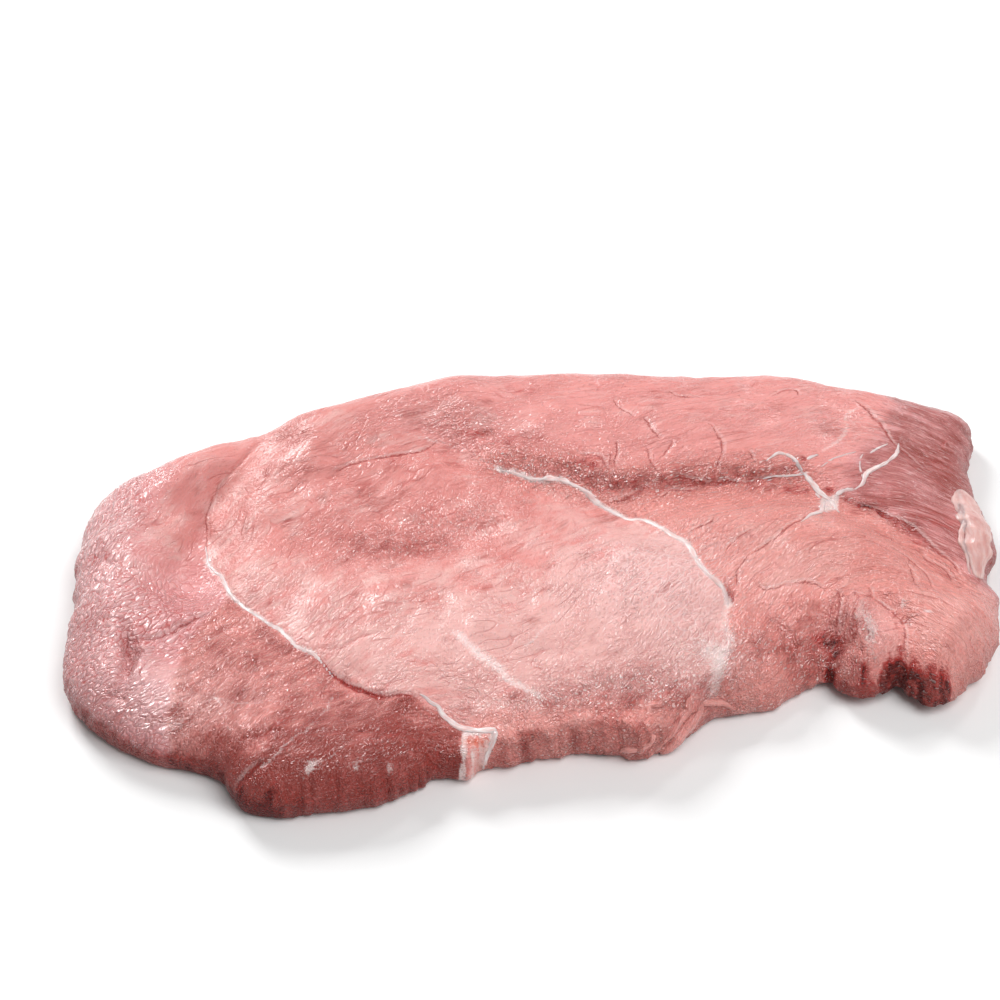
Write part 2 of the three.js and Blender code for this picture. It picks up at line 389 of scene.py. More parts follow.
smooth = np.clip(
    1.1 * groove_slope
    + spots(
        (0.7, -62, 0, 12, 16), (0.8, -20, -28, 22, 7, 8), (0.9, 70.5, -23, 2.6, 7, 6),
        (0.7, 84, -24, 8, 9), (0.7, 50, -8, 11, 4.5, 2), (0.6, -74, -37, 8, 5),
    ), 0, 1)
wrinkled = np.clip(
    muscle["rim"] * ease(44, 24, Y) + 0.25 * muscle["middle"] * ease(0, -20, Y + 0.2 * X)
    + spots((0.9, -66, -26, 16, 8, -40), (0.4, -52, -40, 16, 6, -20), (0.5, -40, 34, 14, 8, 20)),
    0, 1) * (1 - 0.85 * smooth)
stretched = np.clip(muscle["right"] + 0.9 * muscle["corner"] + 0.7 * groove_slope, 0, 1)
stretched = stretched * (1 - 0.5 * smooth)


def ribs(x, y):
    """Upright ribs on the front wall, from 0 between them to 1: one noise's |height|, rounded."""
    return np.tanh(1.6 * np.abs(noise((x + 0.3 * y) / 2.6, y / 9, 42)))

# %% Add up the relief
# Each layer is its height in mm times a net or a noise.
lumps = 0.20 * noise(X / 12, Y / 12, 31) + 0.06 * noise(X / 5, Y / 5, 32)
cushions = 0.20 * net(5.0, 2.0, 28, 33)
granules = 0.42 * net(2.6, 2.0, 38, 35) + 0.14 * noise(X / 1.6, Y / 1.6, 37)
pulls = 0.13 * net(24, 3.6, 6, 38) + 0.06 * noise(U / 20, V / 1.4, 40)
rib_spots, rib_height = hill(-34, -63, 17, 5, 8), ribs(X, Y)
end_ribs = 0.8 * rib_height * rib_spots
wide_creases = muscle["middle"] * (0.5 + hill(-50, 20, 16, 16)) + 0.8 * muscle["back"]
close_creases = muscle["back"] + 0.7 * muscle["right"] + 0.3 * muscle["corner"]
creases = 0.17 * net(13, 4.2, 16, 44) * wide_creases + 0.14 * net(7, 2.2, 14, 46) * close_creases
relief = lumps + (cushions * (0.4 + 1.5 * wrinkled) + creases) * (1 - 0.7 * smooth)
relief = relief + granules * granular + pulls * stretched + end_ribs
print("relief spread", relief.std().round(2), "mm")

# %% [markdown]
# Cracks, seams and furrows are carved last. Each has a line, a half width, a depth, and how red
# it is inside. A crack opens from nothing and closes again, so its depth rises and falls along
# the line.

# %% List the cracks and furrows
CARVED = {  # line, half width in mm, depth in mm, redness
    "left seam": (LEFT_SEAM[1:7], 0.9, 0.9, 0.25),
    "left seam, lower": (LEFT_SEAM[7:14], 0.9, 0.35, 0.1),
    "red gap in the left seam": (LEFT_SEAM[12:17], 0.7, 0.9, 1.0),
    "fold behind the left seam": (
        [(-72, 27), (-74, 20), (-74, 12), (-76, 7), (-79, -2)], 2.2, 1.2, 0.15),
    "right seam": (RIGHT_SEAM[3:15], 0.8, 0.3, 0.1),
    "hole at the seam's end": ([(38.6, -11.5), (39.4, -14), (39, -16)], 0.8, 1.2, 1.0),
    "back furrow": (
        [(-4, 31), (6, 28.5), (14, 25), (22, 24), (36, 26), (49, 27.5), (57, 28.5)],
        1.8, 1.0, 0.2),
    "right crease": (RIGHT_CREASE[:-1], 0.9, 0.7, 0.35),
    "left crack": (
        [(-86, -24), (-85, -28), (-83, -33), (-84, -38), (-85, -42)], 1.3, 2.4, 0.3),
    "left crack's branch": (
        [(-84, -27), (-79, -26), (-75, -23), (-71, -18), (-67, -15)], 0.8, 0.6, 0.2),
    "first fold in the slope": ([(-90, 14), (-85, 22), (-80, 32), (-75, 40)], 0.8, 0.35, 0.1),
    "second fold in the slope": ([(-84, 4), (-80, 14), (-77, 24), (-73, 33)], 0.9, 0.35, 0.1),
    "dark mark at the front": ([(-60.5, -64.5), (-57.4, -63.5), (-54, -61)], 0.7, 1.1, 0.8),
    "red crease": (
        [(66.3, 20.8), (70.4, 18.8), (73.6, 17.8), (75.5, 15.2), (78.4, 12.4)], 1.0, 0.8, 0.8),
    "crack over the hump": (
        [(-46, 26), (-41, 30), (-36, 32), (-29, 35), (-23, 40)], 0.4, 0.6, 0.4),
    "belly crack": ([(-48, -29), (-40, -28), (-33, -24)], 0.5, 0.4, 0.3),
    "belly line": (
        [(-33, -31), (-31, -25), (-27, -19), (-20, -7), (-12, -2)], 0.6, 0.3, 0.15),
    "hollow": ([(57, -13), (58.5, -19), (59, -26), (59, -35)], 4.6, 2.4, 0.15),
    "first dent in the hollow": ([(47, -17), (51, -22), (50, -28)], 1.6, 1.0, 0.1),
    "second dent in the hollow": ([(42, -24), (46, -29), (45, -35)], 1.3, 0.9, 0.1),
    "third dent in the hollow": ([(53, -29), (50, -33), (51, -37)], 1.2, 1.0, 0.1),
    "pit in the hollow": ([(57.6, -21.5), (58.8, -24), (60.6, -28.5)], 1.5, 3.0, 1.0),
    "lobe's hollow": ([(68, -13), (72.5, -18), (75, -24), (74.6, -32)], 2.6, 1.1, 0.1),
    "notch under the hollow": ([(58.8, -28.9), (58.6, -31.6), (57.4, -35)], 1.1, 2.0, 1.0),
    "second gap in the edge": ([(68.2, -33.5), (68.9, -36), (69.2, -41)], 0.6, 1.6, 0.3),
    "third gap in the edge": ([(70.6, -32), (71.4, -35), (71.6, -41)], 1.2, 2.8, 0.3),
    "fourth gap in the edge": ([(76.0, -34.5), (76.2, -36.5), (76.4, -41)], 0.5, 1.6, 0.3),
    "fifth gap in the edge": ([(80.4, -34.5), (80.8, -36.5), (81.2, -41)], 0.6, 1.8, 0.3),
    "front left groove": (
        [(-66, -55), (-59.9, -54.3), (-48.1, -53.1), (-38.3, -53.7), (-28.6, -53.3),
         (-20.8, -49.9)], 0.7, 0.4, 0.5),
}
# %% Carve them
LIP = 0.28  # height of the swollen lips of a crack, as a share of its depth
LIP_WIDTH = 2.6  # half widths of the crack
carving, lips, red = np.zeros(X.shape), np.zeros(X.shape), np.zeros(X.shape)
ragged = (1 + 0.16 * noise(X / 4, Y / 4, 41)).clip(0.4)
for line, half_width, depth, redness in CARVED.values():
    distance, place, _ = along_line(line)
    swell = np.sin(np.pi * np.clip(place, 0.03, 0.97)) ** 0.5
    across = distance / (half_width * ragged)
    lips = np.maximum(lips, LIP * depth * np.exp(-((across / LIP_WIDTH) ** 2)) * swell)
    carving = np.maximum(carving, depth * (1 + LIP) * np.exp(-(across**2)) * swell)
    red = np.maximum(red, redness * np.exp(-((across * 1.15) ** 2)) * swell)
print("carved", len(CARVED), "lines, up to", carving.max().round(1), "mm deep")

# %% [markdown]
# Finer creases need another way, because a crease a third of a millimetre wide falls between the
# points of the mesh. What can be stored coarsely is how far each point is from the nearest
# crease, counted as negative on its right side. Between two points that distance is still exact,
# so the material can draw a sharp line where it passes 0.

# %% List the fine creases
CREASES = [  # line, strength
    (LEFT_SEAM[3:8], 0.6), (LEFT_SEAM[12:17], 1.2),
    ([(-86, -24), (-85, -28), (-83, -33), (-84, -38)], 0.8),
    ([(-80, -33), (-81, -36), (-80.5, -39)], 0.6),
    ([(-84, -27), (-79, -26), (-75, -23), (-71, -18), (-67, -15)], 0.8),
    ([(-46, 26), (-41, 30), (-36, 32), (-29, 35), (-23, 40)], 0.9),
    ([(-48, -29), (-40, -28), (-33, -24)], 0.35),
    ([(-33, -31), (-27, -19), (-20, -7), (-12, -2)], 0.3),
    ([(-60.5, -64.5), (-57.4, -63.5), (-54, -61)], 1.0),
    ([(30.2, 4.8), (31.8, 5.9), (34, 7.3), (36, 8.4), (37.5, 11.3)], 0.8),
    ([(38.6, -2.4), (39.7, 0.1), (41.3, 1.6), (43.5, 3.9), (46.3, 6.1)], 0.8),
    ([(44.2, -3.6), (47, -1.4), (48.2, 0.4), (51.4, 3), (54.4, 6.5), (58.5, 9.5)], 1.0),
    ([(33, -0.8), (34.8, 0.3), (36.7, 1.3)], 0.6),
    ([(43.2, -3.5), (41.9, -5.5), (41.3, -8.3), (41, -11.4)], 0.9),
    ([(44.7, -10), (46.5, -11.8), (48.5, -10.6), (52, -10), (58.1, -10.3), (59.4, -12.3)], 0.9),
    ([(63.9, -12.4), (68.5, -15), (72.5, -19.4), (73.5, -21.8), (73.1, -26.2), (73.4, -31)], 1.3),
    ([(68, -11.4), (68.5, -12.8), (68.7, -15.1)], 0.9),
    ([(61.5, -11), (61.7, -15.4), (61.5, -20.9), (60.9, -23)], 1.2),
    ([(66.2, -15.5), (65.6, -19.2), (64.8, -21.6), (64.2, -24.8), (64, -29.5)], 0.9),
    ([(68, 19.6), (73.4, 17.8), (76.9, 14.5), (80.7, 10.2), (84.4, 5.2), (87.4, -1),
      (89.5, -6)], 1.3),
    ([(73.5, 1.7), (76.8, 1.3), (79.9, -4.1), (81.4, -8.2), (82.3, -13.7)], 0.8),
    ([(81.6, 3.8), (82.4, 0.5), (84.2, -1.8), (86.8, -4.9), (87.6, -7.7)], 0.8),
    ([(77.2, -2.6), (77.6, -5.9), (77.9, -11.2), (78.6, -15.2)], 0.7),
    ([(74.5, -20), (75.4, -21.4), (76.3, -21.2), (78.8, -21.8)], 0.9),
    ([(17.2, 53.8), (19.1, 49.7), (21.4, 44.9)], 0.8),
    ([(23, 45.6), (25.1, 41.4), (27, 38.7)], 1.0),
    ([(29.7, 38.3), (28.9, 35.1), (27.7, 32)], 0.8),
    ([(17.5, 36.9), (17, 33.7), (16.7, 30.7)], 0.9),
    ([(37.1, 44.2), (38.9, 43.6), (40.7, 38.5), (41.1, 35.6), (40.3, 32.7), (38.4, 28.4),
      (38.6, 27)], 0.8),
    ([(24, 36.7), (25.8, 31.6), (25.9, 29.1), (27.6, 26.5)], 0.7),
    ([(8.2, 33.3), (11.8, 34), (14.6, 31.6), (15.6, 28.9)], 0.8),
    ([(46.9, 35.3), (47.9, 33.5), (48.1, 31.4)], 0.7),
    ([(29.4, 26.6), (35.4, 26.3), (38.8, 26.1), (40.8, 27), (46.3, 25.8), (50.9, 27.6),
      (54, 27.8)], 1.2),
    ([(14.3, 20.9), (18.1, 20.9), (21, 23), (24.4, 24.6)], 0.9),
    ([(24.7, 21), (27.8, 22.1), (29.1, 24), (32.5, 23), (37.4, 25.7)], 0.9),
    ([(30.1, 57.1), (31.8, 55), (34.3, 54.6), (37.3, 53.9)], 0.8),
    ([(54.1, 54.5), (55.9, 57.2), (57.9, 57.6), (59.6, 56.5), (60.3, 54.5)], 0.9),
    ([(72.5, 55), (75.2, 51.2), (76.6, 47.3), (79, 41.8), (81, 36.6), (83.5, 33.7),
      (87.1, 28.6)], 1.0),
]
# %% Chart the fine creases
CREASE_REACH = 4.0  # mm of chart worked out round each crease
GROOVE_DEPTH, GROOVE_WIDTH = 0.4, 0.8  # mm that a crease of strength 1 is carved, and half width
crease, crease_side = np.zeros(X.shape), np.ones(X.shape)
nearest_crease = np.full(X.shape, CREASE_REACH)
for line, strength in CREASES:
    ends = np.array(line)
    first = ((ends.min(0) - CREASE_REACH - low) / CELL).astype(int).clip(0)
    last = ((ends.max(0) + CREASE_REACH - low) / CELL).astype(int)
    window = np.s_[first[1] : last[1], first[0] : last[0]]
    distance, place, side = along_line(line, window)
    swell = np.sin(np.pi * place) ** 0.5
    nearer = distance < nearest_crease[window]
    crease[window] = np.where(nearer, strength * swell * ease(2.0, 1.2, distance), crease[window])
    crease_side[window] = np.where(nearer, side * distance, crease_side[window])
    nearest_crease[window] = np.minimum(nearest_crease[window], distance)
    groove = GROOVE_DEPTH * strength * swell * np.exp(-((distance / GROOVE_WIDTH) ** 2))
    carving[window] = np.maximum(carving[window], groove)
top = base + relief + lips - carving
print(len(CREASES), "fine creases")

# %% [markdown]
# ## Where the meat is pale, dark, bloody or wet
#
# The colour of veal changes from muscle to muscle. The middle muscle is almost cream, the one at
# the front left is a deep brown red, and raw spots show blood. The walls of the edge are darker and
# browner as painted shade, and more painted shade lies in the middle muscle's valley, on the slope
# of the left groove, in the hollow at the right front and between the ribs at the front left. These
# charts only say where. The colours themselves come later, in the material.

# %% Chart where the meat is pale
pale = (
    muscle["middle"] * (0.42 + spots(
        # The dip at (-35, 6) lowers the paleness in the valley of the middle muscle: partly darker
        # meat, partly painted shade.
        (0.7, -10, -27, 36, 15, 6), (0.2, -55, -8, 14, 10), (-0.75, -35, 6, 17, 8, 8),
        (-0.35, -20, 24, 22, 10, -15), (0.85, 24, -10, 16, 15), (0.65, 12, -36, 22, 8, 10),
    ))
    + spots(
        (0.8, 34, -30, 5, 6), (0.55, 54, 0, 22, 11, -10), (1.0, -90, -8, 9, 26),
        (0.9, -76, -44, 12, 8, -20), (-0.15, -62, 41, 22, 6, 24), (-0.3, -45, 28, 18, 10, 15),
        (0.7, 58.8, -27.7, 1.2, 1.0), (0.75, 82, -24, 13, 11), (0.9, 67, -24, 2.2, 8, 6),
        # The spot at (-72, 32) is painted light on the slope of the left groove.
        (0.3, 34, -30, 9, 8), (0.65, -86, -36, 10, 12), (0.15, -72, 32, 8, 12, -35),
        (0.25, 30, 48, 26, 8), (0.45, -12, 46, 12, 4, -8), (0.1, -80, 16, 6, 18, -14),
        (0.6, 50, -9, 11, 4, 2), (0.5, 70.5, -23, 2.6, 8, 6), (0.3, 44, 12, 18, 7, 10),
    )
)
pale = pale + 0.12 * noise(X / 7, Y / 7, 53) + 0.12 * noise(U / 7, V / 1.4, 54)

# %% Chart where it is dark
front_wall_dark = ease(-18, -12, X) * ease(-43, -48, Y - 0.1 * X)
low_front_left = muscle["front left"] * ease(-46, -62, Y - 0.12 * (X + 50))
DARK_CELL = [
    (64, 46.2), (68.4, 46.4), (68.8, 43.6), (67.8, 40.3), (65.5, 40.4), (63.6, 41.9),
]
dark = (
    muscle["front left"] * (0.43 + 0.35 * hill(-34, -48, 13, 5, 15)) + 0.6 * low_front_left
    # The corner's dark is partly its own colour and partly painted shade where it faces away. The
    # front wall's small dark is painted shade.
    + 0.6 * muscle["corner"] + 0.06 * muscle["middle"] + 0.05 * front_wall_dark
    + 0.3 * inside(DARK_CELL)
    + spots(
        # Partly painted shade, partly darker meat: the spots at (-76, 24) on the slope of the left
        # groove, (-35, 5) in the valley of the middle muscle, and (53, -27) and (60, -22) in the
        # hollow at the right front.
        (0.08, -76, 24, 5, 13, -25), (0.45, -35, 5, 15, 6, 8), (0.34, 53, -27, 8, 6),
        (0.45, 60, -22, 3.2, 7), (0.25, -12, 40, 14, 4, -15), (0.35, -84, -46, 10, 5),
        (0.36, 17, -43, 17, 4.5, 6), (0.35, 63.2, -21, 1.8, 8, 4), (0.3, 36, -37, 6, 4),
        (0.3, 42, -28, 6, 8), (0.25, 90, 32, 7, 10), (0.25, 13, 15, 5, 4),
        (0.2, 17.8, 27, 8, 6), (0.2, -37, 22, 12, 6, 10), (0.3, 54.9, 30.7, 2.0),
        (0.10, -45, 28, 18, 10, 15),
    )
)
striped = hill(66.2, -24, 3.2, 9) * noise(X / 0.8, Y / 7, 57)
blotches = (1 - 0.8 * smooth) * (1 - 0.6 * stretched) * noise(X / 6, Y / 6, 51)
dark = dark + 0.12 * blotches + 0.10 * noise(U / 6, V / 1.6, 52) + 0.5 * striped
# Painted shade between the ribs of the front left wall, and painted light on their crests.
dark = dark + 0.45 * (0.6 - rib_height) * blur(rib_spots, 1.0)

# %% Chart where it is bloody and wet
blood = np.clip(
    red + 0.09 * muscle["right"] + 0.32 * low_front_left
    + strokes((0.2, 3.6, [(6, 33), (14, 28), (24, 26), (36, 27), (50, 27)]))
    + spots(
        (0.35, -15, 42, 5, 3), (0.3, -6, 38, 6, 3), (0.3, -5, 57, 6, 2.5),
        (0.35, 11.5, 31.5, 3, 2), (0.8, 59.7, 32.6, 0.8), (0.9, 63.9, 22.6, 1.1, 0.7, -40),
        (0.4, 57, 24.4, 3.4, 1.4), (0.8, 71.5, 18.8, 1.6, 0.8, -25), (0.35, 54.9, 30.7, 1.6),
        # The pit and the notch under the hollow are bloody enough to turn near-black: partly blood,
        # partly painted shade.
        (0.9, 59.4, -25.0, 1.5, 3.0, 25), (0.8, 59.4, -30.5, 1.4, 2.4),
        (0.12, 48, -22, 14, 8), (0.3, -53, -66, 10, 3),
    ), 0, 1)
blood = blood * (0.85 + 0.25 * noise(X / 2, Y / 2, 55)).clip(0)
wet = np.clip(
    0.35 + 0.7 * wrinkled + 0.5 * granular - 0.25 * smooth
    + 0.2 * muscle["front left"] + 0.4 * muscle["corner"] + 0.5 * muscle["right"]
    + 0.2 * muscle["back"] - 0.25 * muscle["middle"]
    + spots((0.5, -42, 37, 12, 7, 20), (0.6, 66, -27, 4, 8, 8), (0.6, 54, -27, 9, 8)), 0, 1)

# %% Chart the sinew in the surface
SINEW_STAR = [
    (61.2, 13.3), (62.4, 18.3), (62.5, 21.3), (65.1, 20.8), (65.8, 18.6), (65.7, 15.9),
    (64.6, 16.6), (62.6, 15),
]
sinew = np.clip(
    0.95 * inside(SINEW_STAR)
    + strokes(
        (0.75, 0.8, LEFT_SEAM[7:13]), (0.75, 0.9, RIGHT_SEAM[3:15]),
        (0.45, 0.5, RIGHT_SEAM[:4]), (0.5, 1.6, RIGHT_SEAM[14:]),
        (0.65, 1.5, [(-18, -26), (-8, -37), (-2, -43)]),
        (0.5, 0.6, [(-4, -29), (0, -25), (2, -23)]),
        (0.5, 0.45, [(-55, -62.4), (-52.6, -59.4), (-48, -55.4), (-45.4, -50.1), (-42, -42)]),
        (0.35, 0.45, [(-46.7, -63.3), (-43.8, -61.2), (-41, -58.7), (-40.5, -56), (-41.4, -51.6)]),
        (0.5, 0.35, [(-66, -44), (-60, -46), (-53, -44)]),
        (0.5, 0.35, [(-66, -44), (-64, -47), (-63, -52)]),
        (0.45, 0.9, [(65.3, 20.8), (66.4, 22.8), (68.6, 23.2)]),
        (0.5, 0.9, [(64.3, 35.9), (68.3, 41), (69.9, 42.9), (70.2, 45.8), (71.5, 48.9),
                    (73.1, 50.9)]),
    )
    + spots(
        (0.6, -45.4, -61.7, 1.6, 0.9, 40), (0.6, -36.5, -61.4, 1.1, 1.6),
        (0.6, -30.7, -60.7, 0.9, 1.6), (0.55, 34, -30, 3.5, 5), (0.35, -73, -49, 3, 2.5),
        (0.4, 62.5, 17.5, 2.0, 3.4, 20), (0.6, 67, -25, 1.4, 9, 2), (0.8, 74.7, -17.9, 0.6, 1.1),
        (0.7, 77.4, -19.2, 0.8, 0.5, -30), (0.8, 79.9, -20.7, 1.2, 0.6, -25),
        (0.8, 75.3, -22.6, 0.5, 1.2), (0.6, 75.1, -25.6, 0.6, 1.2),
    ), 0, 1)

# %% Chart the cool tint with its painted sheen, the warm and netted meat, and gather the charts
# The cool tint is partly the meat's own and partly painted sheen: most on the wrinkled left rim,
# and a bluish sheen on the corner where it faces away.
cool = np.clip(
    0.9 * wrinkled * muscle["rim"] + 0.7 * muscle["corner"] + 0.3 * muscle["back"]
    + spots(
        (0.3, 24, -10, 16, 15), (0.7, 67, -24, 2.2, 8, 6), (0.5, 70.5, -23, 2.6, 8, 6),
        (0.4, -76, -44, 12, 8, -20),
    ), 0, 1)
warm = np.clip(
    0.9 * muscle["right"] + 0.6 * muscle["front left"] + 0.35 * muscle["back"]
    + strokes((0.8, 6, FURROW)) + 0.8 * front_wall_dark, 0, 1)
netted = spots(
    (0.9, 26, -8, 16, 17), (0.7, 34, -30, 9, 9), (0.4, -76, -44, 14, 10), (0.5, 70, 44, 14, 9),
).clip(0, 1)
paint = {
    "pale": pale.clip(0, 1), "dark": dark.clip(0, 1), "blood": blood, "wet": wet, "sinew": sinew,
    "wrinkled": wrinkled, "granular": granular, "stretched": stretched, "smooth": smooth,
    "cool": cool, "crease": crease, "crease side": crease_side, "warm": warm, "netted": netted,
}
for name, chart in paint.items():
    print(name, "mean", chart.mean().round(2))

# %% [markdown]
# ## The surface of the slice
#
# The top could be a grid of squares cut off at the rim, but its edge would be a staircase. Here a
# grid is fitted to the outline instead: opposite sides are joined by straight lines both ways,
# and the two answers are blended. That is a Coons patch. The edge is then carried on from
# the grid's border, ring by ring, over the shoulder, down to the rim and under it to the foot.

# %% Ease loops
ALONG, ACROSS = 336, 228  # cells of the top, multiples of COARSE
COARSE = 4  # cells of the top to one of the underside
CORNERS = [(-95, -40), (90, -29), (99, 53), (-87, 32)]  # mm, front left and on round the rim
FINE = 0.25  # mm


def evened(loop):
    """The closed loop with its points at even fine steps along it."""
    closed = np.concatenate([loop, loop[:1]])
    length = np.concatenate([[0], np.cumsum(np.hypot(*np.diff(closed, axis=0).T))])
    steps = np.arange(0, length[-1], FINE)
    return np.stack([np.interp(steps, length, closed[:, k]) for k in range(2)], 1)


def eased(loop, reach):
    """The fine closed loop with each point spread over its neighbours by a bell, in mm."""
    bell = np.exp(-2 * (np.pi * reach * np.fft.rfftfreq(len(loop), FINE)) ** 2)
    return np.fft.irfft(np.fft.rfft(loop, axis=0) * bell[:, None], len(loop), axis=0)


def inward(loop):
    """Unit directions at right angles to the loop, into the slice."""
    run = np.roll(loop, -2, 0) - np.roll(loop, 2, 0)
    run = run / np.hypot(*run.T)[:, None]
    return np.stack([-run[:, 1], run[:, 0]], 1)

# %% Even out the rim and find its four sides
fine_rim = eased(evened(cad_rim[:, :2]), 0.8)
starts = [int(np.hypot(*(fine_rim - corner).T).argmin()) for corner in CORNERS]
fine_rim = np.roll(fine_rim, -starts[0], 0)
starts = [(start - starts[0]) % len(fine_rim) for start in starts] + [len(fine_rim)]
picks = np.concatenate([
    np.linspace(begin, end, cells, endpoint=False)
    for begin, end, cells in zip(starts, starts[1:], (ALONG, ACROSS, ALONG, ACROSS))
]).astype(int)
run_mm = picks * FINE  # distance along the rim
print("rim is", round(len(fine_rim) * FINE), "mm round, in", len(picks), "steps")

# %% [markdown]
# The edge differs round the slice. At the left it rolls over slowly, like the end of a cushion.
# Along the front middle the knife left a steep wall with a sharp shoulder. Two numbers do both:
# how far in from the rim the top starts to fall, and how square the fall is. At a distance d
# in from the rim, with reach R and squareness e, the top keeps (1 - (1 - d/R)^e)^(1/e) of its
# height over the rim. That is a quarter ellipse at e = 2, and nearly a square corner at e = 5.

# %% Set the edge's roundness
SHOULDER = 4.5  # mm in from the rim where the grid of the top ends and the edge's rings start
TUCK, CUT_BACK = 2.0, 4.6  # mm that the rim stands out over the foot, mostly and under the lobes
WIDEST_AT = 0.36  # height of the rim, as a share of the top's
RINGS_DOWN, RINGS_UNDER = 10, 4
CLEFTS = [  # x, half width and depth in mm of the gaps between the lobes
    (58.8, 1.1, 1.5), (68.9, 0.5, 0.6), (72.4, 1.3, 1.7), (76.3, 0.45, 0.6), (80.8, 0.5, 0.6),
]

off_rim = off_loop(cad_rim[:, :2], X, Y)
front_wall = ease(-22, -14, X) * ease(34, 20, X) * ease(-30, -40, Y)
right_front = ease(34, 52, X) * ease(-12, -30, Y)
reach = 8 + 7 * ease(-60, -84, X) + 4 * ease(-36, -50, Y) * ease(-20, -30, X)
reach = reach - 5 * front_wall + 1.5 * right_front + 2 * ease(40, 56, Y)
square = 2.1 + 2.2 * front_wall
rim_height = WIDEST_AT * base * (1 - 0.35 * right_front)


def skin_height(x, y, off):
    """Height of the slice's upper skin at places that lie that far in from the rim."""
    near = np.clip(1 - off / look_up(reach, x, y), 0, 1)
    e = look_up(square, x, y)
    low_z = look_up(rim_height, x, y)
    return low_z + (look_up(top, x, y) - low_z) * (1 - near**e) ** (1 / e)

# %% Place the rim and the shoulder
smooth_rim = eased(fine_rim, 2.2)
way_in = inward(eased(fine_rim, 3.0))
shoulder_loop = eased(smooth_rim + SHOULDER * way_in, 1.5)[picks]
way_in = way_in[picks]
rim_x, rim_y = fine_rim[picks].T
front = look_up(front_wall + 0.3 * right_front, rim_x, rim_y)
cut_back = look_up(ease(56, 60, X) * ease(92, 84, X) * ease(-10, -24, Y), rim_x, rim_y)
ragged = 0.35 * noise(run_mm / 7, run_mm * 0, 61) + 0.06 * noise(run_mm / 2.4, run_mm * 0, 62)
cleft = sum(depth * np.exp(-(((rim_x - x) / half_width) ** 2)) for x, half_width, depth in CLEFTS)
cleft = cleft * (rim_y < -20)
rim_loop = fine_rim[picks] - way_in * (ragged * (0.6 + 0.8 * front) + 0.1 - cleft)[:, None]

# %% Roll the edge over in rings
def edge_rings():
    """Rings of points from just past the shoulder down to the foot: on the skin above the rim,
    and below it on a quarter ellipse, or a slope under the lobes at the right. The array is rings
    by steps by x, y, z."""
    made = []
    shoulder_off = look_up(off_rim, *shoulder_loop.T)
    for ring in range(1, RINGS_DOWN + 1):
        out = np.sin(np.pi / 2 * ring / RINGS_DOWN)
        xy = shoulder_loop + (rim_loop - shoulder_loop) * out
        made.append(np.column_stack([xy, skin_height(*xy.T, shoulder_off * (1 - out))]))
    rim_z = made[-1][:, 2]
    for ring in range(1, RINGS_UNDER + 1):
        share = ring / RINGS_UNDER
        a = np.pi / 2 * share
        inset = TUCK * (1 - np.cos(a)) * (1 - cut_back) + CUT_BACK * share * cut_back
        lowered = np.sin(a) * (1 - cut_back) + share * cut_back
        made.append(np.column_stack([rim_loop + way_in * inset[:, None], rim_z * (1 - lowered)]))
    return np.array(made)


rings = edge_rings()
ring_x, ring_y, ring_z = np.moveaxis(rings, -1, 0)
depth_down = np.linspace(0, 1, len(rings))[:, None]
creased = 0.16 * noise(run_mm / 2.6, ring_z / 3, 63) + 0.14 * noise(run_mm / 1.2, ring_z / 1.3, 64)
wall_ribs = 0.9 * (ribs(ring_x, ring_y) - 0.6) * ease(-54, -46, ring_x) * ease(-16, -24, ring_x)
bulge = creased * (0.5 + front) + wall_ribs * (ring_y < 0)
bulge = bulge * ease(0, 0.3, depth_down) * ease(1, 0.8, depth_down)
rings[..., :2] -= way_in * bulge[..., None]
print("edge of", len(rings), "rings of", len(picks), "points")

# %% [markdown]
# The top is filled by the Coons patch, and so is the flat underside, whose cells are four times
# as wide. A fan of triangles joins four steps of the foot to one step of the underside.

# %% Fill a loop with a grid
def filled(loop, along, across):
    """Points that fill a loop of four sides, front, right, back and left: the lines across plus
    the lines along, less the patch that the four corners alone would give."""
    front_side = loop[: along + 1]
    right_side = loop[along : along + across + 1]
    back_side = loop[along + across : 2 * along + across + 1][::-1]
    left_side = np.concatenate([loop[2 * along + across :], loop[:1]])[::-1]
    u = np.linspace(0, 1, along + 1)[None, :, None]
    v = np.linspace(0, 1, across + 1)[:, None, None]
    corners = (1 - v) * ((1 - u) * front_side[0] + u * front_side[-1])
    corners = corners + v * ((1 - u) * back_side[0] + u * back_side[-1])
    across_lines = (1 - v) * front_side[None] + v * back_side[None]
    return across_lines + (1 - u) * left_side[:, None] + u * right_side[:, None] - corners


def border(along, across):
    """Numbers of the grid points on the border of a filled loop, in the loop's order."""
    grid = np.arange((along + 1) * (across + 1)).reshape(across + 1, along + 1)
    return np.concatenate([grid[0, :-1], grid[:-1, -1], grid[-1, :0:-1], grid[:0:-1, 0]])


def grid_faces(along, across):
    """Four corners of each cell of a grid, anticlockwise."""
    grid = np.arange((along + 1) * (across + 1)).reshape(across + 1, along + 1)
    return np.stack([grid[:-1, :-1], grid[:-1, 1:], grid[1:, 1:], grid[1:, :-1]], -1).reshape(-1, 4)

# %% Fill the top and the underside
flat_top = filled(shoulder_loop, ALONG, ACROSS).reshape(-1, 2)
top_points = np.column_stack([flat_top, skin_height(*flat_top.T, look_up(off_rim, *flat_top.T))])
foot_inset = rings[-1][::COARSE, :2] + 1.6 * way_in[::COARSE]
under_flat = filled(foot_inset, ALONG // COARSE, ACROSS // COARSE).reshape(-1, 2)
under_points = np.column_stack([under_flat, np.zeros(len(under_flat))])
points = np.concatenate([top_points, rings.reshape(-1, 3), under_points])
points[:, 2] = points[:, 2].clip(0)

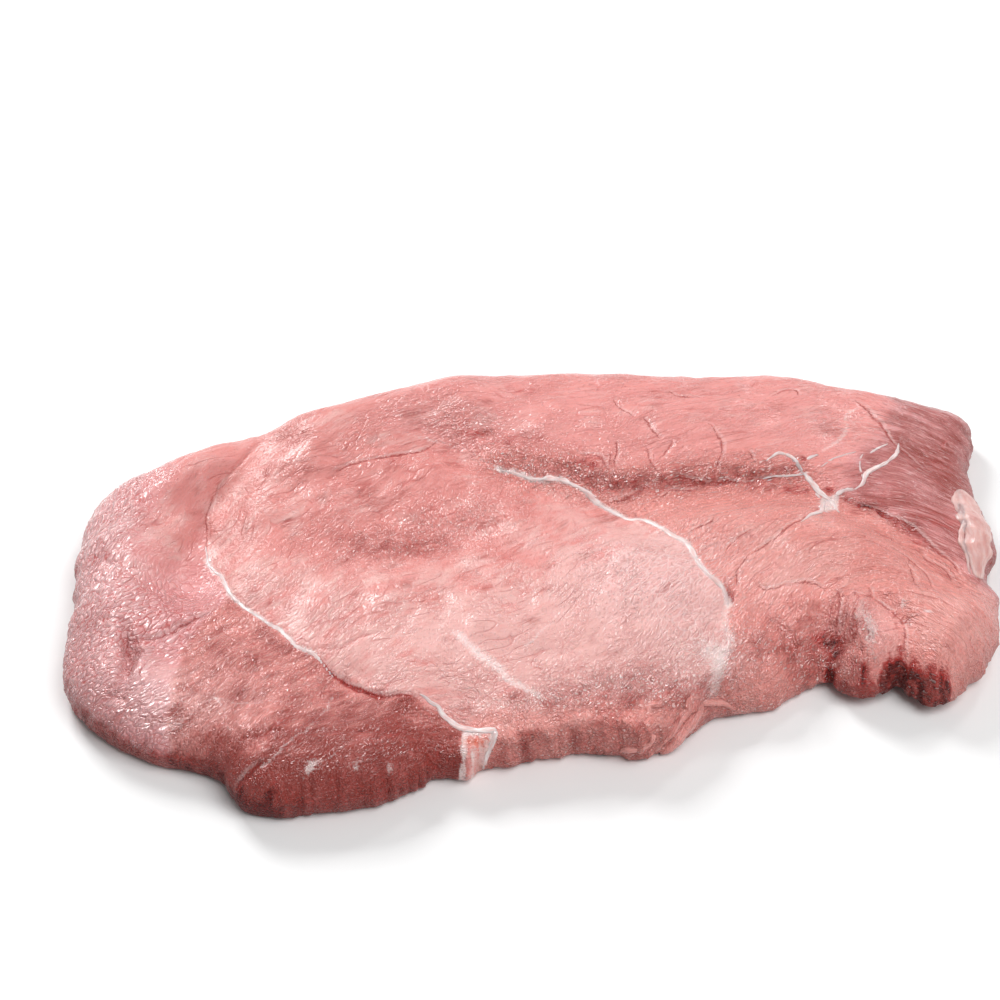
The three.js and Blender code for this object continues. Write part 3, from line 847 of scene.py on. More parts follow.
# %% Number the faces
steps = len(picks)
ring_start = len(top_points) + steps * np.arange(len(rings))[:, None]
ring_ids = np.concatenate([border(ALONG, ACROSS)[None], ring_start + np.arange(steps)])
turned = np.roll(ring_ids, -1, 1)
edge_faces = np.stack([ring_ids[:-1], ring_ids[1:], turned[1:], turned[:-1]], -1).reshape(-1, 4)
under_start = len(points) - len(under_points)
under_faces = grid_faces(ALONG // COARSE, ACROSS // COARSE)[:, ::-1] + under_start
foot, foot_next = ring_ids[-1], turned[-1]
coarse = border(ALONG // COARSE, ACROSS // COARSE) + under_start
fans = np.stack([foot, np.repeat(coarse, COARSE), foot_next], -1)
gaps = np.stack([foot_next[COARSE - 1 :: COARSE], coarse, np.roll(coarse, -1)], -1)

# %% Make the mesh
def new_piece(name, points, *face_sets):
    """A smooth mesh object from points in mm and arrays of three- or four-sided faces."""
    mesh = bpy.data.meshes.new(name)
    mesh.vertices.add(len(points))
    mesh.vertices.foreach_set("co", (points * MM).ravel())
    corners = np.concatenate([faces.ravel() for faces in face_sets])
    sizes = np.concatenate([np.full(len(faces), faces.shape[1]) for faces in face_sets])
    mesh.loops.add(len(corners))
    mesh.loops.foreach_set("vertex_index", corners.astype(np.int32))
    mesh.polygons.add(len(sizes))
    mesh.polygons.foreach_set("loop_start", (np.cumsum(sizes) - sizes).astype(np.int32))
    mesh.polygons.foreach_set("use_smooth", np.ones(len(sizes), bool))
    mesh.update(calc_edges=True)
    piece = bpy.data.objects.new(name, mesh)
    bpy.context.scene.collection.objects.link(piece)
    print(name, "has", len(points), "points and", int((sizes - 2).sum()), "triangles")
    return piece


top_faces = grid_faces(ALONG, ACROSS)
slice_piece = new_piece("slice", points, top_faces, edge_faces, under_faces, fans, gaps)

# %% [markdown]
# The material has to know, at each point, how pale or wet the meat is and which way its fibres
# run. So every chart is read at every point and stored on the mesh as a named attribute. The
# fibre coordinates get the height as a third number, so that the grain goes on down the walls
# instead of smearing.

# %% Read the charts at the points
def store(piece, name, values):
    """One number, or three, for each point of the mesh."""
    kind, field = ("FLOAT", "value") if values.ndim == 1 else ("FLOAT_VECTOR", "vector")
    attribute = piece.data.attributes.new(name, kind, "POINT")
    attribute.data.foreach_set(field, values.astype(np.float32).ravel())


x, y, z = points.T
on_rings = np.s_[len(top_points) : under_start]
walls, round_way = np.zeros(len(points)), np.zeros(len(points))
walls[on_rings] = np.repeat(np.linspace(0, 1, len(rings)), steps)
walls[under_start:] = 1.0
round_way[on_rings] = np.tile(run_mm, len(rings))
stored = {name: look_up(chart, x, y) for name, chart in paint.items()}

# %% [markdown]
# The charts are seen from above, so a wall would take the colours of its upper edge. What differs
# on the walls is painted here, by height and by distance round the rim: a mottled cut face darkened
# as painted shade, painted shade with a blood tint along the front left foot where the edge turns
# under, the torn dark faces of the lobes, and a gauze of sinew in the loop.

# %% Paint the walls
steep = ease(0.2, 0.7, walls)
at_lobes = ease(60.2, 61, x) * ease(83, 82.2, x) * (y < -20)
side_wall = steep * (1 - 0.9 * at_lobes)
# Painted shade: the walls' paleness is set to a low, mottled value, so they read darker than the
# top.
mottle_and_shade = 0.3 + 0.22 * noise(round_way / 5, z / 2.5, 66)
front_left_edge = ease(0.35, 0.7, walls) * ease(-44, -56, x) * ease(-36, -44, y)
stored["pale"] = stored["pale"] * (1 - side_wall) + side_wall * mottle_and_shade
stored["sinew"] = stored["sinew"] * (1 - 0.8 * side_wall)
stored["granular"] = np.maximum(stored["granular"], 0.75 * side_wall)
stored["wet"] = stored["wet"] * (1 - 0.5 * steep)
# Painted shade where the front left edge turns under, with a blood tint: more blood on its wall, in
# patches.
blood_and_shade_on_foot = front_left_edge * (1 + 0.4 * noise(round_way / 2.0, z / 6, 67))
# Painted shade on every wall: a little more blood and dark than on the top, in mottled patches.
stored["blood"] = stored["blood"] + 0.55 * blood_and_shade_on_foot + 0.04 * steep
stored["dark"] = stored["dark"] + 0.10 * steep + 0.14 * steep * noise(round_way / 4, z / 2, 65)

# %% Paint the torn faces of the lobes
TORN_EDGE = [  # x, and the height under which the lobes' wall is torn open, in mm
    (60, 5.8), (61.7, 6.4), (64.8, 5.5), (66.4, 6.0), (68.3, 6.8), (69.2, 8.8), (72, 8.8),
    (74.9, 8.4), (78.2, 9.2), (80.7, 8.4), (82.5, 7.0),
]
# Where this nears 1, in the clefts between the lobes, the torn face turns near-black: partly thick
# blood, partly painted shade.
RAWNESS_AND_SHADE = [  # x in mm, and how bloody the torn face is there
    (60, 0.5), (68, 0.55), (69.5, 1.0), (74, 1.0), (75, 0.8), (76.4, 0.95), (77.5, 0.76),
    (81, 0.78), (82, 1.0),
]
drips = 0.9 * noise(x / 1.4, x * 0, 58) + 0.5 * noise(x / 0.6, z / 5, 59)
torn_z = np.interp(x, *np.transpose(TORN_EDGE)) + 0.3 * drips
torn = at_lobes * ease(torn_z + 0.4, torn_z - 0.3, z)
fringe = at_lobes * ease(66.8, 69.5, x) * ease(torn_z + 2.6 + drips, torn_z + 0.3, z)
red_line = 0.7 * np.exp(-(((x - 65) / 0.5) ** 2)) + 0.3 * np.exp(-(((x - 64.5) / 2.6) ** 2))
red_line = red_line * (y < -30) * ease(11, 9.5, z) * ease(5, 6, z)
raw = np.interp(x, *np.transpose(RAWNESS_AND_SHADE)) * (1 + 0.28 * noise(x / 0.9, z / 1.5, 70))
stored["blood"] = np.maximum(stored["blood"], 0.6 * fringe) + red_line
stored["blood"] = np.clip(stored["blood"] * (1 - torn) + torn * raw, 0, 1)
torn_dark = torn * (0.62 + 0.2 * noise(round_way / 2, z / 2, 68))
# The front left foot is darkened too, as painted shade.
stored["dark"] = stored["dark"] + torn_dark + 0.6 * front_left_edge

# %% Paint the gauze of sinew in the loop, and store it all
APRON_LEFT = [(0, -17.6), (4.1, -16.9), (6.8, -16.5)]  # height, and x of its left edge, in mm
APRON_RIGHT = [(0.4, -12.3), (3.5, -11.5), (6.2, -10.9), (8.4, -10.1), (9.5, -9.6)]
APRON_BACK = -50.6  # mm, its y
apron_left, apron_right = (
    np.interp(z, *np.transpose(side)) for side in (APRON_LEFT, APRON_RIGHT)
)
inset = np.minimum(np.minimum(x - apron_left, apron_right - x), APRON_BACK - y)
gauze = 0.45 + 0.3 * noise(x / 0.6, z / 6, 69) + 0.5 * ease(1.5, 0.7, inset)
apron = ease(-0.3, 0.3, inset)
stored["sinew"] = np.maximum(stored["sinew"] * (1 - apron), gauze.clip(0, 0.95) * apron)
stored["smooth"] = np.maximum(stored["smooth"], apron)
stored["heart"] = np.exp(-(((x + 13.9) / 2.3) ** 2) - ((y + 53.6) / 1.2) ** 2) * apron
for name, values in stored.items():
    store(slice_piece, name, values)
store(slice_piece, "fibre", np.column_stack([look_up(U, x, y), look_up(V, x, y), z]))
print("stored", *stored, "and fibre")

# %% [markdown]
# ## Sinew that stands on the surface
#
# The knife cuts the sinew between two muscles too, and its cut edge shows as a white thread,
# a little proud of the meat because sinew shrinks less. Each thread is a tube with a flattened
# round section, carried along its line and laid on the finished surface, half sunk in. Its ends
# taper to a point, so the tube is closed.

# %% Read places on the slice
slice_faces = [list(face.vertices) for face in slice_piece.data.polygons]
surface = BVHTree.FromPolygons(points.tolist(), slice_faces)


def unbent(line):
    """Where the places of the line are before the grid is bent: each is moved back three times."""
    line = np.asarray(line, float)
    places = line.copy()
    for _ in range(3):
        places = places + line - np.column_stack(bend(*places.T))
    return places


def on_slice(places):
    """Points of the slice and its directions there: straight below places given as x and y, and
    nearest to places given as x, y and z."""
    if places.shape[1] == 2:
        down = Vector((0, 0, -1))
        hits = [surface.ray_cast(Vector((px, py, 40.0)), down) for px, py in places]
    else:
        hits = [surface.find_nearest(Vector(place)) for place in places]
    return np.array([hit[0] for hit in hits]), np.array([hit[1] for hit in hits])


def softened(rows, reach):
    """Rows with each value spread over its neighbours by a bell, ends held."""
    offsets = np.arange(-int(3 * reach), int(3 * reach) + 1)
    bell = np.exp(-(offsets**2) / (2 * reach**2))
    bell = bell / bell.sum()
    padded = np.pad(rows, ((len(offsets) // 2,) * 2, (0, 0)), "edge")
    return np.stack([np.convolve(column, bell, "valid") for column in padded.T], 1)

# %% Lay tubes on the slice
LOWEST = 0.05  # mm over the table, for the lowest point of a tube


def sections_along(line, half_width, half_height, seed, taper, sides, uneven, wraps, step):
    """Distances along a line on the slice, and the tube's sections there. A section is an ellipse
    that lies in the surface: middle + side * w cos(a) + up * h sin(a). Both ends shrink to a
    point."""
    path = rounded(line)
    path[:, :2] = unbent(path[:, :2])
    lengths = np.concatenate([[0], np.cumsum(np.sqrt((np.diff(path, axis=0) ** 2).sum(1)))])
    along = np.linspace(0, lengths[-1], max(int(lengths[-1] / step), 6))
    middle, up = on_slice(np.stack([np.interp(along, lengths, column) for column in path.T], 1))
    middle, up = softened(middle, 1.2), softened(up, 3.0)
    up = up / np.linalg.norm(up, axis=1)[:, None]
    side = np.cross(up, np.gradient(middle, axis=0))
    side = side / np.linalg.norm(side, axis=1)[:, None]
    share = along / along[-1]
    thin = np.sqrt(np.clip(share / taper[0], 0, 1) * np.clip((1 - share) / taper[1], 0, 1))
    swelling = 1 + uneven[0] * noise(along / 4, along * 0, seed)
    swelling = swelling + uneven[1] * noise(along / 1.4, along * 0, seed + 1)
    w, h = half_width * thin * swelling.clip(0.4), half_height * thin * swelling.clip(0.5)
    a = np.linspace(0, 2 * np.pi, sides, endpoint=False)
    sections = middle[:, None] + side[:, None] * (w[:, None] * np.cos(a))[..., None]
    if wraps:
        nearest = on_slice(sections.reshape(-1, 3))[0].reshape(sections.shape)
        columns = [softened(column, 1.0) for column in nearest.transpose(1, 0, 2)]
        sections = np.stack(columns, 1)
    return along, sections + up[:, None] * (h[:, None] * np.sin(a))[..., None]

# %% Close the tube's skin
def tube(line, half_width, half_height, seed, taper=(0.12, 0.12), sides=10,
         uneven=(0.22, 0.12), wraps=False, step=0.45):
    """Points, faces and grain of a tube along a line on the slice. A line of x, y lies on the
    top, and a line of x, y, z on the nearest skin, also of the wall. A wide one wraps: each of its
    points starts from the nearest skin. The grain runs along the tube and round it."""
    along, sections = sections_along(
        line, half_width, half_height, seed, taper, sides, uneven, wraps, step)
    inner = sections[1:-1].reshape(-1, 3)
    tube_points = np.concatenate([inner, sections[[0, -1], 0]])
    tube_points[:, 2] = tube_points[:, 2].clip(LOWEST)
    rows = np.arange(len(inner)).reshape(-1, sides)
    round_rows = np.roll(rows, -1, 1)
    quads = np.stack([rows[:-1], rows[1:], round_rows[1:], round_rows[:-1]], -1).reshape(-1, 4)
    first = np.stack([np.full(sides, len(inner)), rows[0], round_rows[0]], -1)
    last = np.stack([np.full(sides, len(inner) + 1), round_rows[-1], rows[-1]], -1)
    a = np.linspace(0, 2 * np.pi, sides, endpoint=False)
    grain = np.column_stack([
        np.repeat(along[1:-1], sides), np.tile(a * half_width, len(rows)), np.zeros(len(inner)),
    ])
    grain = np.concatenate([grain, [[0, 0, 0], [along[-1], 0, 0]]])
    return tube_points, quads, np.concatenate([first, last]), grain

# %% Join tubes and lay the two threads
def joined(name, parts):
    """One piece from several tubes, with the grain stored on it."""
    shifts = np.cumsum([0] + [len(part[0]) for part in parts[:-1]])
    places, quads, ends, grain = zip(*parts)
    quads, ends = (
        np.concatenate([faces + shift for faces, shift in zip(face_set, shifts)])
        for face_set in (quads, ends)
    )
    piece = new_piece(name, np.concatenate(places), quads, ends)
    store(piece, "fibre", np.concatenate(grain))
    return piece


left_thread = joined("seam_thread_left", [tube(LEFT_SEAM[6:14], 0.52, 0.16, 71, (0.4, 0.15))])
right_thread = joined("seam_thread_right", [tube(RIGHT_SEAM[3:15], 0.6, 0.2, 75, (0.15, 0.08))])

# %% [markdown]
# Behind the right muscle the sinew fans out into a little net of white cords. It is made of
# the same tubes, crossing each other. At the front, where the thin skin between two muscles was
# cut loose, it hangs over the edge in small glossy folds. Those are wider tubes down the wall.

# %% Lay the net of sinew
NET = [  # line, half width, half height
    ([(49.7, 27), (51, 27.9), (53.7, 28.7), (56.3, 28.9), (59.2, 29)], 0.34, 0.1),
    ([(51.1, 31.7), (53.2, 34.6), (54.2, 34.8), (56.3, 33.5), (57.6, 31.7), (57.9, 30.1),
      (58.1, 29.2)], 0.38, 0.14),
    ([(56.2, 33.2), (57.7, 31.2), (58.4, 29.4), (59.7, 28.3), (59.9, 26.6), (61.3, 24.7),
      (62.5, 23), (63.7, 21), (64.6, 18.6)], 0.62, 0.14),
    ([(61, 23.6), (61.8, 22.4), (62.4, 20.7)], 0.3, 0.12),
    ([(63.2, 20.4), (62.6, 17.5), (61, 13.1), (58.7, 9.6), (55.5, 6.4)], 0.5, 0.14),
    ([(64, 20.2), (65, 17.4), (66.2, 15.2)], 0.42, 0.14),
    ([(65, 20.6), (66.4, 22.8), (68.6, 23.2)], 0.5, 0.10),
    ([(68.2, 23), (70, 24.3), (71.5, 25.7), (74.3, 28.2), (76.8, 30.9), (78.8, 32.7),
      (80.4, 36.3), (81.6, 39.4)], 0.55, 0.2),
    ([(71.4, 25.4), (71.7, 28.2), (72.1, 30.9), (72.8, 34.4)], 0.21, 0.04),
    ([(73.8, 34.2), (76.7, 37.3), (78.8, 38.8)], 0.32, 0.12),
    ([(62.8, 30.3), (65.9, 32.2), (68.6, 33.6), (71.6, 34.9)], 0.21, 0.04),
    ([(60.2, 32.3), (61.6, 33.7), (63.8, 34.3)], 0.4, 0.14),
]
sinew_net = joined("sinew_net", [
    tube(*cord, 200 + 2 * k, (0.25, 0.3), uneven=(0.12, 0.10)) for k, cord in enumerate(NET)
])

# %% Lay the folds of skin
FOLDS = [  # line with heights, half width, half height
    ([(17.5, -50, 0.8), (21.6, -47.6, 3), (23.4, -45.6, 5.5), (26.2, -43.4, 8),
      (28.6, -41.9, 9.5), (31.5, -41.6, 9)], 1.0, 0.8),
    ([(16.0, -49.5, 2.5), (19.1, -47.2, 5.5), (21.6, -45.4, 8), (24.4, -44.2, 9.8)], 1.1, 0.8),
    ([(23.0, -49, 0.6), (26.2, -46.8, 3), (28.6, -44.8, 5.2), (30.9, -43.2, 7),
      (32.2, -42, 8.5)], 1.6, 1.0),
    ([(30.5, -42.6, 8), (34.4, -41.2, 7), (37.0, -40.4, 5), (39.6, -39.6, 2.6)], 0.7, 0.5),
]
SKIN_FINISH = {
    "sinew": 0.16, "wet": 1.0, "pale": 0.35, "warm": 0.7, "dark": 0.22, "stretched": 0.8,
}
skin_folds = joined("skin_folds", [
    tube(*fold, 101 + 2 * k, (0.3, 0.35), 16, (0.14, 0.05), True) for k, fold in enumerate(FOLDS)
])
for name, value in SKIN_FINISH.items():
    store(skin_folds, name, np.full(len(skin_folds.data.vertices), value))

# %% [markdown]
# ## Fat
#
# Veal has little fat. One creamy pad sits on the right edge, and at the front the big seam ends
# in a white loop that hangs down the wall. The pad is a wide flat tube with lumps.

# %% Lay the fat and the loop
PAD = [(95.2, 24.5, 12), (95.0, 18, 11), (95.0, 12, 10), (95.2, 5, 9), (94.6, -3.5, 9)]
PAD_FOLD = [(93.6, 24, 12), (92.6, 17, 12), (91.8, 10, 12), (91.9, 4, 12), (92.6, -3, 11)]
LOOP_TOP = [
    (-25, -43.8, 14), (-22.4, -45.3, 14), (-19.6, -47.4, 9.5), (-18, -49.2, 9),
    (-16.4, -50.6, 8.6), (-14.4, -51, 8.8), (-12.1, -51, 9.1), (-9.4, -51, 9.6),
]
LOOP_SIDE = [
    (-9.9, -50.8, 9.6), (-9.9, -52.2, 9.4), (-10.2, -53.4, 8.2), (-11, -54.2, 6.2),
    (-11.7, -54.2, 3.4), (-12.4, -53.6, 0.6),
]
fat_pad = joined("fat_pad", [
    tube(PAD, 4.2, 0.8, 121, (0.2, 0.3), 32, (0.10, 0.03), True),
    tube(PAD_FOLD, 0.7, 0.5, 131, (0.3, 0.3), 12, wraps=True),
])
seam_loop = joined("seam_loop", [
    tube(LOOP_TOP, 0.7, 0.2, 123, (0.5, 0.06), 16, (0.1, 0.05), True),
    tube(LOOP_SIDE, 0.6, 0.2, 125, (0.06, 0.5), 16, (0.1, 0.05), True),
])

# %% [markdown]
# ## Materials
#
# Three wet materials are needed: meat, sinew and fat. All let light in a little way, so they
# use subsurface scattering, and all have the same fine grain, which is one node group with its
# own values in each material. A group gives out masks and heights only. The shader stays in
# the material.

# %% Helpers for node trees
class Wiring:
    """Adds nodes to one tree. Each helper takes numbers or sockets and gives back a socket."""

    def __init__(self, tree):
        self.tree = tree

    def feed(self, value, socket):
        """Links a socket to the given one, or sets a plain value on it."""
        if isinstance(value, bpy.types.NodeSocket):
            self.tree.links.new(value, socket)
        else:
            socket.default_value = value

    def add(self, kind, inputs=None, **settings):
        """A shader node of that kind with its inputs and settings."""
        made = self.tree.nodes.new("ShaderNode" + kind)
        for name, value in settings.items():
            setattr(made, name, value)
        for name, value in (inputs or {}).items():
            self.feed(value, made.inputs[name])
        return made

    def chain(self, operation, values):
        """The values joined from left to right by Math nodes."""
        result = values[0]
        for value in values[1:]:
            result = self.add("Math", {0: result, 1: value}, operation=operation).outputs[0]
        return result

    def times(self, *values):
        """The values' product."""
        return self.chain("MULTIPLY", values)

    def plus(self, *values):
        """The values' sum."""
        return self.chain("ADD", values)

    def highest(self, *values):
        """The highest of the values."""
        return self.chain("MAXIMUM", values)

    def line(self, value, slope, start):
        """start + slope * value."""
        inputs = {0: value, 1: slope, 2: start}
        return self.add("Math", inputs, operation="MULTIPLY_ADD").outputs[0]

    def ramp(self, value, low_end, high_end, to_low=0.0, to_high=1.0):
        """The value mapped smoothly from one range to another, held at the ends."""
        inputs = {
            "Value": value, "From Min": low_end, "From Max": high_end,
            "To Min": to_low, "To Max": to_high,
        }
        return self.add("MapRange", inputs, interpolation_type="SMOOTHSTEP").outputs["Result"]

    def attribute(self, name, output="Fac"):
        """The value that the mesh stores under a name."""
        return self.add("Attribute", attribute_name=name).outputs[output]

    def divided(self, vector, lengths):
        """The vector divided by three lengths, so that one unit of it is as long as each."""
        return self.add("VectorMath", {0: vector, 1: lengths}, operation="DIVIDE").outputs[0]

    def noise(self, vector, detail=2.0, roughness=0.5):
        """Noise from 0 to 1 with features about one unit long."""
        inputs = {"Vector": vector, "Scale": 1.0, "Detail": detail, "Roughness": roughness}
        return self.add("TexNoise", inputs).outputs["Fac"]

    def mix(self, share, under, over):
        """The colour over, laid on the colour under by a share."""
        made = self.add("Mix", data_type="RGBA")
        for socket, value in zip((made.inputs[0], *made.inputs[6:8]), (share, under, over)):
            self.feed(value, socket)
        return made.outputs[2]

# %% Start a node group
def new_group(name, inputs, outputs):
    """An empty node group with named numbers going in and out: its wiring, the sockets that give
    what comes in, and the sockets that take what goes out."""
    group = bpy.data.node_groups.new(name, "ShaderNodeTree")
    number = {"socket_type": "NodeSocketFloat"}
    for socket, value in inputs.items():
        group.interface.new_socket(socket, in_out="INPUT", **number).default_value = value
    for socket in outputs:
        group.interface.new_socket(socket, in_out="OUTPUT", **number)
    given, result = (group.nodes.new("NodeGroup" + end) for end in ("Input", "Output"))
    return Wiring(group), given.outputs, result.inputs


def fibres_by(group, given):
    """The fibre coordinates divided by the group's Length along the fibres and Width across."""
    width = given["Width"]
    lengths = group.add("CombineXYZ", {"X": given["Length"], "Y": width, "Z": width}).outputs[0]
    return group.divided(group.attribute("fibre", "Vector"), lengths)

# %% Build the puckered skin
def puckered_skin_group():
    """Cells of a Voronoi pattern, Length by Width mm along and across the fibres, with wavering
    borders. Cushion is 0 on the borders and 1 inside, Gap is 1 on the borders, and Shade is one
    random number for each cell."""
    group, given, result = new_group(
        "puckered skin", {"Length": 2.2, "Width": 1.0}, ("Cushion", "Gap", "Shade"))
    cells = fibres_by(group, given)
    waver = group.add("TexNoise", {"Vector": cells, "Scale": 0.9, "Detail": 0.0}).outputs["Color"]
    waver = group.add("VectorMath", {0: waver, "Scale": 1.1}, operation="SCALE").outputs[0]
    cells = group.add("VectorMath", {0: cells, 1: waver}, operation="ADD").outputs[0]
    pattern = {"Vector": cells, "Scale": 1.0}
    border = group.add("TexVoronoi", pattern, feature="DISTANCE_TO_EDGE").outputs["Distance"]
    middle = group.add("TexVoronoi", pattern, feature="F1").outputs["Color"]
    group.feed(group.ramp(border, 0.0, 0.38), result["Cushion"])
    group.feed(group.ramp(border, 0.10, 0.0), result["Gap"])
    group.feed(group.add("SeparateColor", {"Color": middle}).outputs[0], result["Shade"])
    return group.tree

# %% Build the fibre grain
def fibre_grain_group():
    """Noise stretched along the fibres. Streaks are Length by Width mm, Threads are finer and
    straighter, and Specks are round and finest. Hairs are the thin broken lines along which a
    wider noise crosses its middle value."""
    group, given, result = new_group(
        "fibre grain", {"Length": 9.0, "Width": 0.8}, ("Streaks", "Threads", "Specks", "Hairs"))
    bundle = fibres_by(group, given)
    speck_size = (0.5, 0.35, 0.4)  # mm
    specks = group.noise(group.divided(group.attribute("fibre", "Vector"), speck_size))
    swells = group.noise(group.divided(bundle, (1.6, 2.6, 2.6)), 0.0)
    off_middle = group.add("Math", {0: group.plus(swells, -0.5)}, operation="ABSOLUTE").outputs[0]
    breaks = group.ramp(group.noise(group.divided(bundle, (1.2, 5.0, 5.0)), 0.0), 0.45, 0.62)
    group.feed(group.noise(bundle, 3.0, 0.55), result["Streaks"])
    group.feed(group.noise(group.divided(bundle, (0.5, 0.4, 0.4))), result["Threads"])
    group.feed(specks, result["Specks"])
    group.feed(group.times(group.ramp(off_middle, 0.040, 0.0), breaks), result["Hairs"])
    return group.tree


puckered_skin, fibre_grain = puckered_skin_group(), fibre_grain_group()
for group in (puckered_skin, fibre_grain):
    gives = [item.name for item in group.interface.items_tree if item.in_out == "OUTPUT"]
    print("group", group.name, "gives", gives)

# %% Name the colours
def colour(red_share, green_share, blue_share):
    """A colour in linear light."""
    return (red_share, green_share, blue_share, 1.0)


ROSE, CREAM = colour(0.71, 0.27, 0.247), colour(0.77, 0.43, 0.402)
# The lilac is a cool tint that also stands for painted sheen.
CORAL, LILAC = colour(0.93, 0.335, 0.285), colour(0.80, 0.42, 0.46)
LIVER, HEART = colour(0.275, 0.038, 0.028), colour(0.55, 0.10, 0.05)
# The near-black colour is thick blood, and also painted shade deep in the pit, the notch and the
# clefts between the lobes.
BLOOD, CLOT_AND_SHADE = colour(0.42, 0.022, 0.016), colour(0.085, 0.004, 0.003)
GAP_RED, CREASE_RED = colour(0.46, 0.062, 0.055), colour(0.38, 0.042, 0.034)
# A pale colour for membrane and sinew, and for painted highlights on cushion tops, flecks and the
# lips of creases.
MEMBRANE_AND_HIGHLIGHT = colour(0.90, 0.72, 0.70)
SINEW_PINK, SINEW_WHITE = colour(0.80, 0.47, 0.45), colour(0.92, 0.73, 0.71)
FAT_PINK, FAT_CREAM = colour(0.62, 0.31, 0.285), colour(0.76, 0.50, 0.47)
FAT_GAP = colour(0.74, 0.34, 0.29)
PALE_GREY = colour(0.9, 0.9, 0.9)


def new_material(name, **constants):
    """A material, its wiring, and its Principled shader with constants set on its own sockets."""
    material = bpy.data.materials.new(name)
    material.use_nodes = True
    shader = material.node_tree.nodes["Principled BSDF"]
    for socket, value in constants.items():
        shader.inputs[socket.replace("_", " ")].default_value = value
    return material, Wiring(material.node_tree), shader.inputs

# %% [markdown]
# The meat is finished as a painter would do it: a rose ground, then thin layers of other colours,
# each with a share that says how much of it shows at a place. A share starts from a stored chart,
# and some grain is added to it, so that no layer ends in a smooth blur. The broad layers give each
# muscle its colour, and some painted shade and sheen. The fine ones draw gaps, cut fibre ends,
# flecks, sinew and creases, with painted highlights on cushion tops, flecks and the creases' lips.

# %% Mark what the meat's colour and height share
def meat_marks(meat, here, grain):
    """Masks by name. A crease's stored distance wavers with the specks and is divided by the
    crease's strength: its core is the part near 0, broken by the streaks, and its lip is a painted
    highlight, a pale line on its left. Patches are big soft areas, uneven adds the wrinkled meat to
    them, and rough is what isn't smooth."""
    waver = meat.ramp(grain["Specks"], 0.3, 0.7, -0.14, 0.14)
    side = meat.plus(here["crease side"], waver)
    distance = meat.add("Math", {0: side}, operation="ABSOLUTE").outputs[0]
    widths = {0: distance, 1: meat.highest(here["crease"], 0.2)}
    off_line = meat.add("Math", widths, operation="DIVIDE").outputs[0]
    core = meat.times(
        meat.ramp(off_line, 0.36, 0.08), meat.ramp(here["crease"], 0.0, 0.7),
        meat.ramp(grain["Streaks"], 0.36, 0.52, 0.35, 1.0))
    # Painted highlight: the lip is lit on one side of each crease only.
    lip = meat.times(meat.ramp(side, 0.3, 0.55), meat.ramp(side, 1.1, 0.7))
    patches = meat.noise(meat.divided(meat.attribute("fibre", "Vector"), (9.0, 6.0, 6.0)), 0.0)
    patches = meat.ramp(patches, 0.40, 0.62, 0.25, 1.0)
    bloody = meat.plus(here["blood"], meat.ramp(grain["Threads"], 0.3, 0.7, -0.14, 0.14))
    return {
        "waver": waver, "core": core, "lip": lip, "patches": patches, "bloody": bloody,
        # Near-black where the blood share is highest: thick blood, and painted shade in the pit,
        # the notch and the clefts.
        "clotted_and_shaded": meat.ramp(bloody, 0.62, 0.98),
        "darkened": meat.plus(here["dark"], meat.ramp(grain["Threads"], 0.3, 0.7, 0.12, -0.12)),
        "uneven": meat.highest(patches, here["wrinkled"]),
        "rough": meat.line(here["smooth"], -0.85, 1.0),
    }

# %% List the broad layers
def broad_layers(meat, here, coarse, grain):
    """Shares and colours of the muscles, blood and dark meat, from the lowest layer. Some of them
    carry painted shade, sheen and highlight.
    """
    # Partly painted highlight: the tops of the cushions in wrinkled meat are made paler, and their
    # edges darker.
    bright_tops = meat.times(meat.plus(coarse["Cushion"], -0.5), here["wrinkled"])
    paled = meat.plus(
        here["pale"], meat.ramp(grain["Streaks"], 0.3, 0.7, -0.16, 0.16),
        meat.ramp(coarse["Shade"], 0.0, 1.0, -0.09, 0.09), meat.times(bright_tops, 0.3))
    return [
        (meat.ramp(paled, 0.0, 1.0), CREAM), (meat.times(here["cool"], 0.45), LILAC),
        (meat.times(here["warm"], 0.55), CORAL), (meat.ramp(here["bloody"], 0.08, 0.62), BLOOD),
        (meat.ramp(here["darkened"], 0.05, 1.05), LIVER), (here["clotted_and_shaded"], CLOT_AND_SHADE),
    ]

